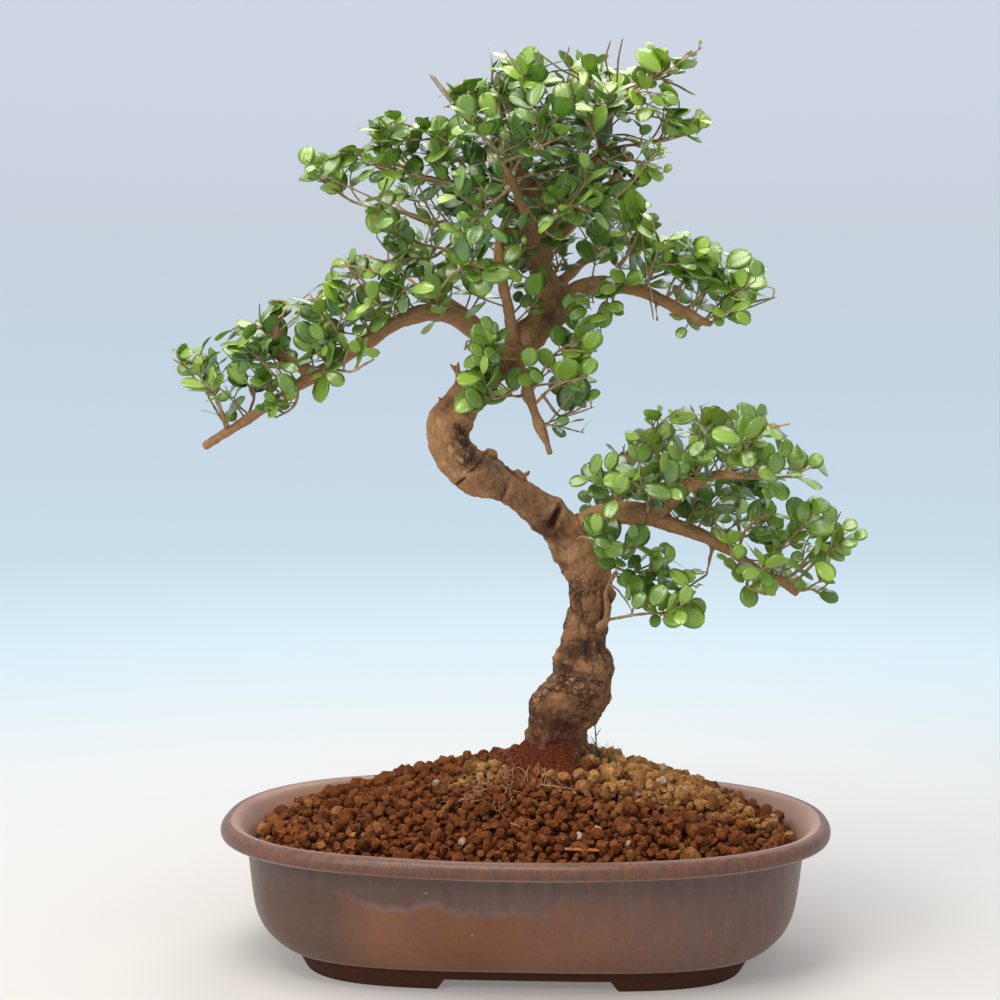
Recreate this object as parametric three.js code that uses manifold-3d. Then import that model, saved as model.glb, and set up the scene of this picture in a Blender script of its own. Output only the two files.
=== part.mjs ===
// A privet bonsai in its oval stoneware pot, about 465 mm tall.
// Lengths are in millimetres, +Z is up, and +X is the right end of the pot seen from the front.
// The origin lies on the table under the middle of the pot.

import * as THREE from 'three';
import { mergeVertices } from 'three/addons/utils/BufferGeometryUtils.js';
import Module from 'manifold-3d';

const wasm = await Module();
wasm.setup();

// Driving dimensions of the pot
const potLength = 310;
const potDepth = 202;
const potHeight = 70;
const potSegments = 42;
const floorTop = 14.5;
const ventWidthBottom = 88;
const ventWidthTop = 80;
const ventHeight = 5.2;
const ventMiddle = 4;
const drainRadius = 9;
const drainMiddle = 48;

// Driving dimensions of the drain screens
const screenSide = 32;
const screenThickness = 1;
const screenHoles = 3;
const screenHoleSide = 6;

// Driving dimensions of the soil
const soilGap = 0.4;
const soilRings = 14;
const soilWallLevel = 60;
const soilWallRise = 4.5;
const soilPeak = 106;
const granuleHeight = 1.3;
const granulePit = 2;

// Driving dimensions of the tree
const trunkFoot = [16.5, 3.5];
const trunkHoleFloor = 70.5;
const trunkHoleTop = 118;
const trunkHoleRadiusFloor = 16.6;
const trunkHoleRadiusTop = 20;
const crownMiddle = new THREE.Vector3(0, 5, 320);
const woodGap = 0.35;

// Driving dimensions of the leafy sprays
const leafLength = 12.6;
const leafWidthShare = 0.4;
const leafThickness = 0.6;
const leafArch = 0.06;
const leafDroop = 0.16;
const pairStep = 11;
const pairsOnTwig = 3;
const bareShare = 0.48;
const nodeHalf = 0.7;
const longestSpan = 20;
const bladeOutline = [[0.34, 0.92], [0.77, 0.8]];
const twigRadius = 0.95;
const twigTipRadius = 0.6;
const shootRadius = 0.7;
const shootFrom = 0.55;
const shootLength = 20;
const longTwig = 42;
const branchFrom = 0.22;
const overlapAllowed = 0.002;

// Colours
const glazeBrown = 0x6f574d;
const akadamaRed = 0x7a3b1c;
const barkTan = 0x8a6e58;
const leafGreen = 0x3f8a2e;
const screenBlack = 0x1d1f1e;

// Outline rings of the pot: inset in length and in depth from the rim, height, and squareness.
// They run from the recess under the floor, round the foot, the belly and the lip, to the inner floor.
const potRings = [
  [55, 46, 9, 3.4],
  [56, 46, 0, 3.4],
  [45, 34.5, 0, 3.6],
  [40, 33, 5.5, 3.5],
  [35.5, 31, 10, 3.4],
  [28, 24.5, 14, 3.1],
  [22, 19.5, 20, 3.0],
  [18, 16, 28, 2.85],
  [16, 14, 38, 2.6],
  [12.5, 12, 61.5, 2.37],
  [3, 3, 62.5, 2.37],
  [0, 0, 65.5, 2.37],
  [0.8, 0.8, 68.4, 2.37],
  [3.5, 3.5, potHeight, 2.37],
  [7, 7, 69.4, 2.37],
  [14.5, 14, 62, 2.37],
  [18.5, 17.5, 54, 2.42],
  [24, 22, 30, 2.75],
  [41, 36.5, floorTop, 3.15],
];
const underFloor = 9;

// Sides of the soil against the pot's inner wall, from its top edge down to the floor
const soilEdge = [16, 15.4, 0, 2.37];
const soilWallRings = potRings.slice(-3).map(([dx, dy, z, n]) => [dx + soilGap, dy + soilGap, z, n]);
const soilFloor = floorTop + 0.3;

// Axis of the trunk and of each limb: x, y, z and radius at each point
const limbs = {
  trunk: [
    [16.5, 3.5, 75.5, 15], [16.5, 3.5, 90, 16.2],
    [16.5, 3.5, 101, 17], [16.5, 3.5, 106.5, 16], [17.5, 3.5, 116.5, 13.4], [21, 5, 125, 14.7],
    [26, 6, 133, 16.5], [28, 7, 141, 17], [30, 7.5, 149, 15.5], [30, 7.5, 156.5, 12.6],
    [32, 6.5, 166.5, 11.6], [33.5, 5.5, 175.5, 11.6], [33.5, 4.5, 184.5, 12.1], [32, 2.5, 195, 13.1],
    [26.5, 0, 207, 13.6], [18, -3, 218, 12], [8, -5.5, 227, 10.2], [-4, -8, 236, 9.7],
    [-15.5, -9.5, 243, 10.7], [-27.5, -10, 248.5, 11.2], [-36, -9.5, 257.5, 12], [-38.5, -7.5, 267, 12],
    [-37, -5.5, 274, 11.5], [-32, -3.5, 282, 10.2], [-26, -1, 288.5, 9.2], [-19, 0, 295.5, 9.2],
    [-12, 1.5, 303.5, 9.8], [-6, 3, 309.5, 9.8],
  ],
  upper_trunk: [
    [-10, 2.5, 306, 7.7], [-0.5, 4, 314, 8.2], [9, 5.5, 323.5, 9.3], [13.5, 6.5, 331, 9.8],
    [10.5, 7.5, 341, 8.3], [7.5, 8.5, 351.5, 8], [5.5, 8, 361.5, 8.8], [4.5, 7, 371, 9.3],
    [3, 6, 382, 7.7], [2.5, 6, 390.5, 5.2],
  ],
  left_limb: [
    [-3.5, 3, 307, 6.7], [-13, 1.5, 310.5, 6.9], [-21.5, -1, 316, 6.2], [-30, -3.5, 322.5, 5.1],
    [-38, -4.5, 326.5, 4.6], [-46.5, -6, 328, 4.6], [-56.5, -8.5, 326, 4.6], [-67.5, -11, 321, 4.3],
    [-80.5, -13.5, 312.5, 4.3], [-92, -15, 304.5, 3.8], [-102.5, -16.5, 297.5, 3.6], [-114.5, -17, 290.5, 3],
    [-128, -16.5, 281.5, 2.8], [-141.5, -16, 272.5, 2.8], [-151.5, -15.5, 266.5, 2.8], [-162.5, -15, 259.5, 2.5],
  ],
  crook_branch: [
    [-103, -16.5, 296.5, 2.8], [-111, -18.5, 299.5, 3], [-120, -21, 304.5, 2.8], [-124, -22, 307.5, 2.5],
    [-123.5, -23, 313.5, 2.3], [-124, -24, 322.5, 1.8],
  ],
  right_limb: [
    [11.5, 6.5, 330, 6.7], [20, 6, 334.5, 6.2], [28.5, 4, 340, 5.1], [38.5, 2.5, 342.5, 4.4],
    [49.5, 0, 341, 3.8], [60.5, -1.5, 338, 3.6], [70, -3, 333.5, 3.3], [80, -4.5, 328, 3.1],
    [89, -6.5, 323.5, 2.8], [94, -7, 321.5, 2],
  ],
  hanging_stub: [
    [-5, -2, 309, 3.6], [-2, -8, 302, 2.5], [0.5, -12, 292.5, 2.4], [3, -14, 284.5, 2.5],
    [6, -15, 277, 2.3], [9, -14.5, 269, 2], [11.5, -13.5, 262, 1.9], [13.5, -12.5, 255.5, 1.5],
  ],
  pale_limb: [
    [-6.5, -2.5, 308, 3.6], [-6.5, -5.5, 316.5, 3.1], [-8, -8.5, 329.5, 2.8], [-10.5, -9.5, 340.5, 2.8],
    [-12.5, -9.5, 353.5, 2.8], [-12, -7.5, 366.5, 2.3], [-8.5, -4.5, 378.5, 1.8],
  ],
  lower_limb: [
    [30, -1, 215, 10.2], [39.5, -3.5, 223, 8.2], [49.5, -6, 226, 6.4], [61.5, -8.5, 225, 5.6],
    [73, -10, 221, 4.3], [84, -11.5, 217.5, 3.8], [95, -12, 213, 3.5], [105.5, -12.5, 207, 3],
    [113, -12.5, 201, 2.8], [121.5, -11, 196, 2.5], [129.5, -9.5, 192.5, 2.3], [138, -8, 185.5, 1.8],
  ],
  lower_fork: [
    [64, -8.5, 224.5, 6.1], [70, -10, 232.5, 6.3], [75, -11, 239.5, 6.1], [78.5, -11.5, 246.5, 5.6],
    [79, -12.5, 254, 5.1],
  ],
  apex_left: [
    [2.5, 6, 383.5, 5.2], [0.5, 4, 393.5, 3.9], [-4.5, 1, 405.5, 2.8], [-8.5, -2.5, 417.5, 2],
    [-11.5, -4.5, 430, 1.5],
  ],
  apex_mid: [
    [4.5, 6, 379, 5.2], [5.5, 8, 390.5, 4.1], [10, 10.5, 404, 3.1], [14.5, 12.5, 418, 2.3],
    [17.5, 13, 431.5, 1.6],
  ],
  apex_right: [
    [7.5, 7.5, 367, 5.7], [18, 7, 376, 4.1], [26, 5, 388.5, 3.3], [33.5, 3.5, 401.5, 2.8],
    [39, 1.5, 412.5, 2.3], [43, 1, 425, 1.8], [46, 0, 436, 1.3],
  ],
  side_right: [
    [10.5, 8.5, 362.5, 4.1], [22, 13, 372, 3.1], [33, 18.5, 384, 2.3], [48, 24, 401, 1.6],
  ],
  side_left: [
    [1.5, 6, 374, 3.6], [-9, 1.5, 382, 2.8], [-21, -4, 389, 2.3], [-36, -9.5, 392.5, 2],
    [-52.5, -14, 395.5, 1.5], [-66.5, -18, 399.5, 1.1],
  ],
  low_left: [
    [-3, 6, 369, 3.4], [-18.5, 9, 369, 2.3], [-33.5, 12.5, 371, 2.1], [-49, 15, 374.5, 1.7],
    [-64, 16.5, 380, 1.3],
  ],
  back_high: [
    [4, 12, 369, 4.2], [5.5, 32.5, 379.5, 3.4], [8, 50.5, 392, 2.7], [12, 66.5, 404, 1.9],
  ],
  front_high: [
    [3.5, 2, 371.5, 3.9], [0, -18, 380, 3], [-4, -36, 389, 2.2], [-7, -50.5, 396, 1.7],
  ],
  back_right: [
    [11.5, 10.5, 336, 4.1], [20.5, 29, 346.5, 3.2], [30.5, 47.5, 356.5, 2.4], [41.5, 64, 364.5, 1.6],
  ],
  back_left: [
    [-13.5, 7.5, 310, 4.1], [-29, 25, 324.5, 3.2], [-45, 40, 336, 2.4], [-62.5, 53.5, 344, 1.6],
  ],
  lower_back: [
    [33.5, 5.5, 219.5, 5.2], [44.5, 26, 229, 3.7], [59.5, 44.5, 237, 2.7], [75, 61, 242, 1.9],
  ],
  lower_front: [
    [71, -11, 229.5, 3.5], [83.5, -20.5, 241, 2.8], [95.5, -28, 247, 2.2], [110, -33.5, 246.5, 1.7],
  ],
  low_shoot: [
    [34, 2, 164, 2.8], [40.5, -6.5, 169.5, 2.3], [42.5, -11, 177.5, 2], [41.5, -14.5, 187, 1.5], [46.5, -16, 197.5, 1.3],
  ],
};

// Knobs and burls on the trunk: place on its axis by ring number, angle round it, height and spread
const knobs = [
  { ring: 4.3, angle: 1.9, height: 0.25, spread: 0.7 },
  { ring: 5, angle: 4.6, height: 0.18, spread: 0.6 },
  { ring: 7, angle: 3.3, height: 0.42, spread: 0.7 },
  { ring: 8.4, angle: 2.6, height: 0.25, spread: 0.6 },
  { ring: 17.6, angle: 3.4, height: 0.5, spread: 0.55 },
  { ring: 18.9, angle: 3.6, height: 0.5, spread: 0.55 },
  { ring: 19.5, angle: 0.2, height: 0.12, spread: 0.8 },
];

// The hollow left by a pruned limb: x, y, z and half sizes
const hollow = { place: [17, -15.5, 221], halfSizes: [2.2, 4, 7], lean: -0.35 };

// Snags: short dead stubs, from, to and radius
const snags = [
  { from: [-33, -2, 284], to: [-32, -4, 304], radius: 2 },
  { from: [-36, -6, 276], to: [-44, -7, 285], radius: 1.1 },
  { from: [-21, -4, 322], to: [-30, -8, 309], radius: 1.1 },
  { from: [95, -12, 213], to: [92, -14, 196], radius: 1.2 },
  { from: [66, -3, 336], to: [67, -6, 323], radius: 1.1 },
];

// Routes of the leafy twigs. The first of a spray leaves a limb, and the others leave the first.
const sprayRoutes = {
  crown: [
    [[[-12, -4, 429], [-16, -9, 440], [-16, -11, 450]]],
    [[[11, 9, 406], [7, -8, 425], [-1, -20, 440], [-8, -26, 452]]],
    [[[18, 13, 429], [28, 27, 441], [38, 35, 453]], [[19, 15, 438], [23, 13, 453]]],
    [[[45, 0, 433], [59, -4, 442], [73, -5, 447], [86, -6, 455]], [[50, 16, 434], [49, 24, 450]]],
    [[[37, 3, 410], [57, -8, 412], [73, -13, 415], [88, -16, 418]], [[51, -22, 404], [66, -33, 399]]],
    [[[48, 24, 400], [55, 32, 388], [59, 37, 374]]],
    [[[-6, 0, 409], [-20, -11, 422], [-34, -17, 432], [-45, -20, 445]]],
    [[[-19, -3, 388], [-34, -19, 405], [-49, -28, 417], [-63, -33, 421]]],
    [[[-51, -14, 395], [-64, -9, 406], [-78, -5, 415]], [[-76, -27, 404], [-86, -30, 409]]],
    [[[-62, 16, 379], [-86, 14, 384], [-100, 8, 392], [-113, 3, 402]]],
    [[[-31, 13, 371], [-46, -2, 356], [-61, -11, 355], [-73, -13, 353]], [[-61, 3, 365], [-73, -5, 371]]],
    [[[-6, -46, 393], [-13, -63, 406], [-23, -71, 414]], [[8, -66, 404], [20, -75, 409]]],
    [[[-4, -36, 389], [-17, -59, 376], [-28, -67, 364]]],
    [[[0, -18, 380], [17, -45, 380], [34, -57, 375]]],
    [[[12, 66, 403], [17, 77, 423], [24, 81, 443]], [[36, 77, 397], [58, 82, 389]]],
    [[[8, 50, 392], [-15, 71, 408], [-38, 78, 417]]],
    [[[31, 4, 398], [33, -25, 413], [42, -40, 427]]],
    [[[-9, -1, 416], [-1, -30, 428], [11, -44, 443]]],
  ],
  left: [
    [[[-45, -6, 328], [-39, -26, 342], [-27, -37, 350], [-15, -43, 348]]],
    [[[-67, -11, 321], [-77, -19, 339], [-89, -22, 352]], [[-61, -17, 339], [-63, -23, 354]]],
    [[[-80, -13, 312], [-93, 0, 331], [-104, 6, 342]]],
    [[[-90, -15, 306], [-94, -32, 321], [-106, -40, 332]]],
    [[[-124, -24, 320], [-119, -19, 332], [-129, -11, 334]], [[-132, -36, 319], [-141, -40, 320]]],
    [[[-115, -17, 290], [-123, -37, 297], [-132, -46, 308]]],
    [[[-140, -16, 273], [-138, -8, 287], [-149, 0, 296]]],
    [
      [[-151, -15, 267], [-151, -30, 281], [-156, -37, 291]],
      [[-157, -21, 289], [-163, -23, 296], [-170, -23, 302]],
    ],
    [[[-98, -16, 300], [-86, -32, 298], [-73, -37, 304]]],
    [[[-114, -17, 291], [-114, -27, 281], [-123, -31, 275]]],
  ],
  back: [
    [[[-60, 52, 343], [-76, 67, 354], [-91, 74, 361]], [[-58, 66, 350], [-53, 80, 365]]],
    [[[39, 62, 363], [58, 76, 369], [76, 85, 363]]],
  ],
  right: [
    [[[41, 2, 342], [53, -16, 358], [59, -22, 375]]],
    [[[61, -1, 338], [65, -23, 353], [70, -29, 363]]],
    [[[70, -3, 334], [84, -10, 346], [95, -14, 359]]],
    [[[81, -5, 328], [98, 8, 344], [115, 15, 351]]],
    [[[89, -6, 323], [105, -8, 330], [125, -7, 335]]],
    [[[52, 0, 340], [72, 23, 348], [91, 36, 354]]],
  ],
  centre: [
    [[[-3, -6, 304], [-11, -24, 305], [-22, -33, 309]]],
    [[[0, -12, 293], [-11, -27, 285], [-23, -31, 286]]],
    [[[3, -14, 286], [16, -15, 307], [39, -20, 318]]],
    [[[5, -14, 281], [16, -21, 291], [31, -27, 295]], [[19, -9, 275], [29, -5, 284]]],
  ],
  lower: [
    [[[41, -3, 223], [45, -28, 238], [34, -39, 246]]],
    [[[50, -6, 226], [54, -4, 243], [50, 0, 259]]],
    [[[62, -8, 224], [63, -33, 236], [72, -45, 242]]],
    [[[76, -11, 241], [67, -17, 257], [64, -19, 273]]],
    [[[79, -13, 252], [89, -4, 265], [96, 0, 278]]],
    [
      [[108, -33, 246], [127, -33, 246], [144, -32, 252]],
      [[108, -38, 260], [117, -41, 273], [129, -43, 267]],
    ],
    [[[107, -13, 206], [111, -29, 221], [121, -37, 229]], [[109, -1, 232], [124, 7, 246]]],
    [[[122, -11, 196], [129, -23, 211], [140, -28, 222]], [[111, -25, 193], [120, -31, 188]]],
    [[[131, -10, 192], [146, -8, 204], [166, -5, 216]]],
    [[[137, -8, 187], [147, 6, 186], [156, 13, 180]]],
    [[[75, 60, 241], [90, 76, 254], [99, 84, 266]], [[93, 70, 225], [113, 79, 218]]],
  ],
  trunk: [
    [[[37, 2, 202], [54, -22, 198], [72, -27, 201]], [[45, -26, 210], [39, -30, 217]]],
    [[[40, -6, 171], [57, -18, 176], [75, -23, 177], [88, -26, 173]]],
  ],
};

// A repeatable draw between 0 and 1 for each set of whole numbers
function chance(spray, twig, leaf, use) {
  let h = Math.imul(spray + 1, 374761393) ^ Math.imul(twig + 1, 668265263);
  h ^= Math.imul(leaf + 1, 2246822519) ^ Math.imul(use + 1, 3266489917);
  h = Math.imul(h ^ (h >>> 15), 2246822519);
  h = Math.imul(h ^ (h >>> 13), 3266489917);
  return ((h ^ (h >>> 16)) >>> 0) / 4294967296;
}

// A closed solid from corner points and triangles
function solidOf(points, triangles) {
  const vertProperties = new Float32Array(points.flat());
  const triVerts = new Uint32Array(triangles.flat());
  return new wasm.Manifold(new wasm.Mesh({ numProp: 3, vertProperties, triVerts }));
}

// A closed solid from one of the standard three.js geometries, put in its place
function solidOfGeometry(geometry, matrix = new THREE.Matrix4()) {
  const bare = geometry.clone().applyMatrix4(matrix);
  bare.deleteAttribute('normal');
  bare.deleteAttribute('uv');
  const merged = mergeVertices(bare, 1e-4);
  return new wasm.Manifold(new wasm.Mesh({
    numProp: 3,
    vertProperties: merged.attributes.position.array,
    triVerts: new Uint32Array(merged.index.array),
  }));
}

function geometryOf(solid) {
  const mesh = solid.getMesh();
  const geometry = new THREE.BufferGeometry();
  geometry.setAttribute('position', new THREE.BufferAttribute(mesh.vertProperties.slice(), 3));
  geometry.setIndex(new THREE.BufferAttribute(mesh.triVerts.slice(), 1));
  return geometry;
}

// Joins rings of equal length into one closed skin, with a fan at both ends.
// Each ring runs anticlockwise seen from the end that the rings rise towards.
function skin(start, rings, end) {
  const sides = rings[0].length;
  const points = [start, ...rings.flat(), end];
  const last = points.length - 1;
  const triangles = [];
  for (let j = 0; j < sides; j += 1) {
    const next = (j + 1) % sides;
    triangles.push([0, 1 + next, 1 + j]);
    for (let i = 0; i + 1 < rings.length; i += 1) {
      const low = 1 + i * sides;
      const high = low + sides;
      triangles.push([low + j, low + next, high + next]);
      triangles.push([low + j, high + next, high + j]);
    }
    triangles.push([last - sides + j, last - sides + next, last]);
  }
  return solidOf(points, triangles);
}

// A point on the pot's rounded oval. Squareness 2 is an ellipse, and more fills the corners.
function ovalPoint([dx, dy, z, squareness], angle) {
  const c = Math.cos(angle);
  const s = Math.sin(angle);
  const x = (potLength / 2 - dx) * Math.sign(c) * Math.abs(c) ** (2 / squareness);
  const y = (potDepth / 2 - dy) * Math.sign(s) * Math.abs(s) ** (2 / squareness);
  return [x, y, z];
}

function ovalRing(ring) {
  return Array.from({ length: potSegments }, (_, j) => ovalPoint(ring, (2 * Math.PI * j) / potSegments));
}

// Pot: a fired shell with a rolled lip, cut through under the foot and drilled for drainage
function makePot() {
  const shell = skin([0, 0, underFloor], potRings.map(ovalRing), [0, 0, floorTop]);
  const vent = new THREE.Shape([
    new THREE.Vector2(-ventWidthBottom / 2, -1),
    new THREE.Vector2(ventWidthBottom / 2, -1),
    new THREE.Vector2(ventWidthTop / 2, ventHeight),
    new THREE.Vector2(-ventWidthTop / 2, ventHeight),
  ]);
  const ventBar = new THREE.ExtrudeGeometry(vent, { depth: potDepth, bevelEnabled: false });
  const ventPlace = new THREE.Matrix4().makeRotationX(Math.PI / 2).setPosition(ventMiddle, potDepth / 2, 0);
  let pot = shell.subtract(solidOfGeometry(ventBar, ventPlace));
  for (const side of [-1, 1]) {
    const drill = new THREE.CylinderGeometry(drainRadius, drainRadius, 20, 14);
    const place = new THREE.Matrix4().makeRotationX(Math.PI / 2).setPosition(side * drainMiddle, 0, floorTop - 4);
    pot = pot.subtract(solidOfGeometry(drill, place));
  }
  return pot;
}

// Drain screen: a square of plastic net that keeps the granules in
function makeScreen(side) {
  const middle = soilFloor + screenThickness / 2;
  const boxAt = (x, y, width, height) => solidOfGeometry(
    new THREE.BoxGeometry(width, width, height),
    new THREE.Matrix4().makeTranslation(side * drainMiddle + x, y, middle),
  );
  let net = boxAt(0, 0, screenSide, screenThickness);
  const pitch = screenSide / screenHoles;
  const places = Array.from({ length: screenHoles }, (_, i) => (i - (screenHoles - 1) / 2) * pitch);
  for (const x of places) {
    for (const y of places) {
      net = net.subtract(boxAt(x, y, screenHoleSide, 3 * screenThickness));
    }
  }
  return net;
}

// Height of the mound: from the level at the pot's wall up to the foot of the trunk
function moundHeight(x, y) {
  const halfLength = potLength / 2 - soilEdge[0];
  const halfDepth = potDepth / 2 - soilEdge[1];
  const reach = (px, py) => Math.hypot(px / halfLength, py / halfDepth);
  const out = Math.min(1, reach(x, y));
  const t = Math.min(1, reach(x - trunkFoot[0] * (1 - out), y - trunkFoot[1] * (1 - out)));
  const wallLevel = soilWallLevel + soilWallRise * Math.min(1, (y / halfDepth) ** 2);
  return wallLevel + (soilPeak - wallLevel) * (0.7 * (1 - t) ** 1.3 + 0.3 * (1 - t ** 4));
}

// Soil: a filling whose top is a net of triangles, with a pit at every third corner, so that granules stand out
function makeSoil() {
  const corners = [[1, 0], [0, 1], [-1, 1], [-1, 0], [0, -1], [1, -1]];
  const points = [[0, 0, moundHeight(0, 0)]];
  const triangles = [];
  const firstOf = (k) => (k === 0 ? 0 : 1 + 3 * k * (k - 1));
  for (let k = 1; k <= soilRings; k += 1) {
    for (let m = 0; m < 6 * k; m += 1) {
      const sector = Math.floor(m / k);
      const step = m % k;
      const [q0, r0] = corners[sector];
      const [q1, r1] = corners[(sector + 1) % 6];
      const kind = (((k * q0 + step * (q1 - q0)) - (k * r0 + step * (r1 - r0))) % 3 + 3) % 3;
      points.push(soilPoint(k, m, kind));
      const inner = (offset) => firstOf(k - 1) + (k === 1 ? 0 : (sector * (k - 1) + offset) % (6 * (k - 1)));
      const outer = (offset) => firstOf(k) + (m + offset) % (6 * k);
      triangles.push([outer(0), outer(1), inner(step)]);
      if (step < k - 1) {
        triangles.push([outer(1), inner(step + 1), inner(step)]);
      }
    }
  }
  const rim = firstOf(soilRings);
  const rimCount = 6 * soilRings;
  const wall = soilWallRings.map((ring, i) => {
    const level = i === soilWallRings.length - 1 ? soilFloor : ring[2];
    return ovalRing([ring[0], ring[1], level, ring[3]]);
  });
  const wallStart = points.length;
  points.push(...wall.flat(), [0, 0, soilFloor]);
  for (let j = 0; j < potSegments; j += 1) {
    const next = (j + 1) % potSegments;
    const top = [rim + 2 * j, rim + 2 * j + 1, rim + (2 * j + 2) % rimCount];
    const under = [wallStart + j, wallStart + next];
    triangles.push([top[1], top[0], under[0]]);
    triangles.push([top[1], under[0], under[1]]);
    triangles.push([top[2], top[1], under[1]]);
    for (let i = 0; i + 1 < wall.length; i += 1) {
      const high = wallStart + i * potSegments;
      const low = high + potSegments;
      triangles.push([high + next, high + j, low + j]);
      triangles.push([high + next, low + j, low + next]);
    }
    const low = wallStart + (wall.length - 1) * potSegments;
    triangles.push([low + next, low + j, points.length - 1]);
  }
  let soil = solidOf(points, triangles);
  const holeHeight = trunkHoleTop - trunkHoleFloor;
  const hole = new THREE.CylinderGeometry(trunkHoleRadiusTop, trunkHoleRadiusFloor, holeHeight, 20);
  const holePlace = new THREE.Matrix4().makeRotationX(Math.PI / 2);
  holePlace.setPosition(trunkFoot[0], trunkFoot[1], (trunkHoleTop + trunkHoleFloor) / 2);
  soil = soil.subtract(solidOfGeometry(hole, holePlace));
  const bedSide = screenSide + 2 * soilGap;
  for (const side of [-1, 1]) {
    const bed = new THREE.BoxGeometry(bedSide, bedSide, 2 * (screenThickness + soilGap));
    const place = new THREE.Matrix4().makeTranslation(side * drainMiddle, 0, soilFloor);
    soil = soil.subtract(solidOfGeometry(bed, place));
  }
  return soil;
}

// One corner of the soil's top: ring k from the middle, corner m round it, and its kind in the net
function soilPoint(k, m, kind) {
  const angle = (2 * Math.PI * m) / (6 * k);
  let [x, y] = ovalPoint(soilEdge, angle);
  if (k === soilRings) {
    if (m % 2 === 1) {
      const before = ovalPoint(soilEdge, (2 * Math.PI * (m - 1)) / (6 * k));
      const after = ovalPoint(soilEdge, (2 * Math.PI * (m + 1)) / (6 * k));
      x = (before[0] + after[0]) / 2;
      y = (before[1] + after[1]) / 2;
    }
    return [x, y, moundHeight(x, y) - 0.6 * chance(k, m, 0, 2)];
  }
  const share = (k + 0.45 * (chance(k, m, 0, 0) - 0.5)) / soilRings;
  const turn = (0.6 * (chance(k, m, 0, 1) - 0.5)) / k;
  const [jx, jy] = ovalPoint(soilEdge, angle + turn);
  x = jx * share;
  y = jy * share;
  const relief = kind === 0 ? -granulePit : granuleHeight * (0.3 + chance(k, m, 0, 2));
  return [x, y, moundHeight(x, y) + relief];
}

// A side direction at right angles to the axis of a limb or twig, and the one square to both
function sideways(tangent) {
  const lead = Math.abs(tangent.z) < 0.9 ? new THREE.Vector3(0, 0, 1) : new THREE.Vector3(1, 0, 0);
  const across = new THREE.Vector3().crossVectors(tangent, lead).normalize();
  const third = new THREE.Vector3().crossVectors(tangent, across);
  return [across, third];
}

// A round solid along an axis. Its rings keep their turn from one to the next, so it doesn't twist.
function tube(axis, radii, sides, bulge) {
  const count = axis.length;
  const rings = [];
  let across = null;
  for (let i = 0; i < count; i += 1) {
    const before = axis[Math.max(i - 1, 0)];
    const after = axis[Math.min(i + 1, count - 1)];
    const tangent = new THREE.Vector3().subVectors(after, before).normalize();
    if (across === null) {
      [across] = sideways(tangent);
    }
    across.addScaledVector(tangent, -across.dot(tangent)).normalize();
    const third = new THREE.Vector3().crossVectors(tangent, across);
    const ring = [];
    for (let j = 0; j < sides; j += 1) {
      const angle = (2 * Math.PI * j) / sides;
      const radius = radii[i] * (bulge ? bulge(i, angle) : 1);
      const point = axis[i].clone();
      point.addScaledVector(across, radius * Math.cos(angle));
      point.addScaledVector(third, radius * Math.sin(angle));
      ring.push(point.toArray());
    }
    rings.push(ring);
  }
  const startOut = new THREE.Vector3().subVectors(axis[0], axis[1]).normalize();
  const endOut = new THREE.Vector3().subVectors(axis[count - 1], axis[count - 2]).normalize();
  const start = axis[0].clone().addScaledVector(startOut, radii[0] * 0.3);
  const end = axis[count - 1].clone().addScaledVector(endOut, radii[count - 1] * 0.3);
  return skin(start.toArray(), rings, end.toArray());
}

function sidesFor(radius) {
  if (radius > 8) {
    return 12;
  }
  if (radius > 5.5) {
    return 8;
  }
  return radius > 3.4 ? 6 : 5;
}

function ball([x, y, z], halfSizes, lean = 0) {
  const place = new THREE.Matrix4().compose(
    new THREE.Vector3(x, y, z),
    new THREE.Quaternion().setFromEuler(new THREE.Euler(0, lean, 0)),
    new THREE.Vector3(...halfSizes),
  );
  return solidOfGeometry(new THREE.IcosahedronGeometry(1, 1), place);
}

// How far the bark of the trunk stands out at a ring and an angle, as a factor of its radius
function trunkSwelling(i, angle) {
  let factor = 1 + 0.03 * Math.cos(3 * angle + 0.7 * i);
  for (const { ring, angle: middle, height, spread } of knobs) {
    const turn = Math.atan2(Math.sin(angle - middle), Math.cos(angle - middle));
    factor += height * Math.exp(-((i - ring) ** 2 + (turn / spread) ** 2));
  }
  return factor;
}

// Wood: trunk, root crown, limbs and snags as one grown piece. The extra is added all over.
function makeWood(extra) {
  let wood = null;
  for (const [name, rows] of Object.entries(limbs)) {
    const axis = rows.map(([x, y, z]) => new THREE.Vector3(x, y, z));
    const radii = rows.map((row) => row[3] + extra);
    const meanRadius = rows.reduce((sum, row) => sum + row[3], 0) / rows.length;
    const limb = tube(axis, radii, sidesFor(meanRadius), name === 'trunk' ? trunkSwelling : null);
    wood = wood ? wood.add(limb) : limb;
  }
  for (const { from, to, radius } of snags) {
    const axis = [new THREE.Vector3(...from), new THREE.Vector3(...to)];
    wood = wood.add(tube(axis, [radius + extra, 0.7 * radius + extra], 4));
  }
  return wood.subtract(ball(hollow.place, hollow.halfSizes, hollow.lean));
}

// The distance from a point to the bark of the nearest limb
function distanceToWood(point) {
  let nearest = Infinity;
  const line = new THREE.Line3();
  const foot = new THREE.Vector3();
  for (const rows of Object.values(limbs)) {
    for (let i = 0; i + 1 < rows.length; i += 1) {
      line.start.fromArray(rows[i]);
      line.end.fromArray(rows[i + 1]);
      const share = line.closestPointToPointParameter(point, true);
      line.at(share, foot);
      const radius = rows[i][3] + (rows[i + 1][3] - rows[i][3]) * share;
      nearest = Math.min(nearest, foot.distanceTo(point) - radius);
    }
  }
  return nearest;
}

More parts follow.
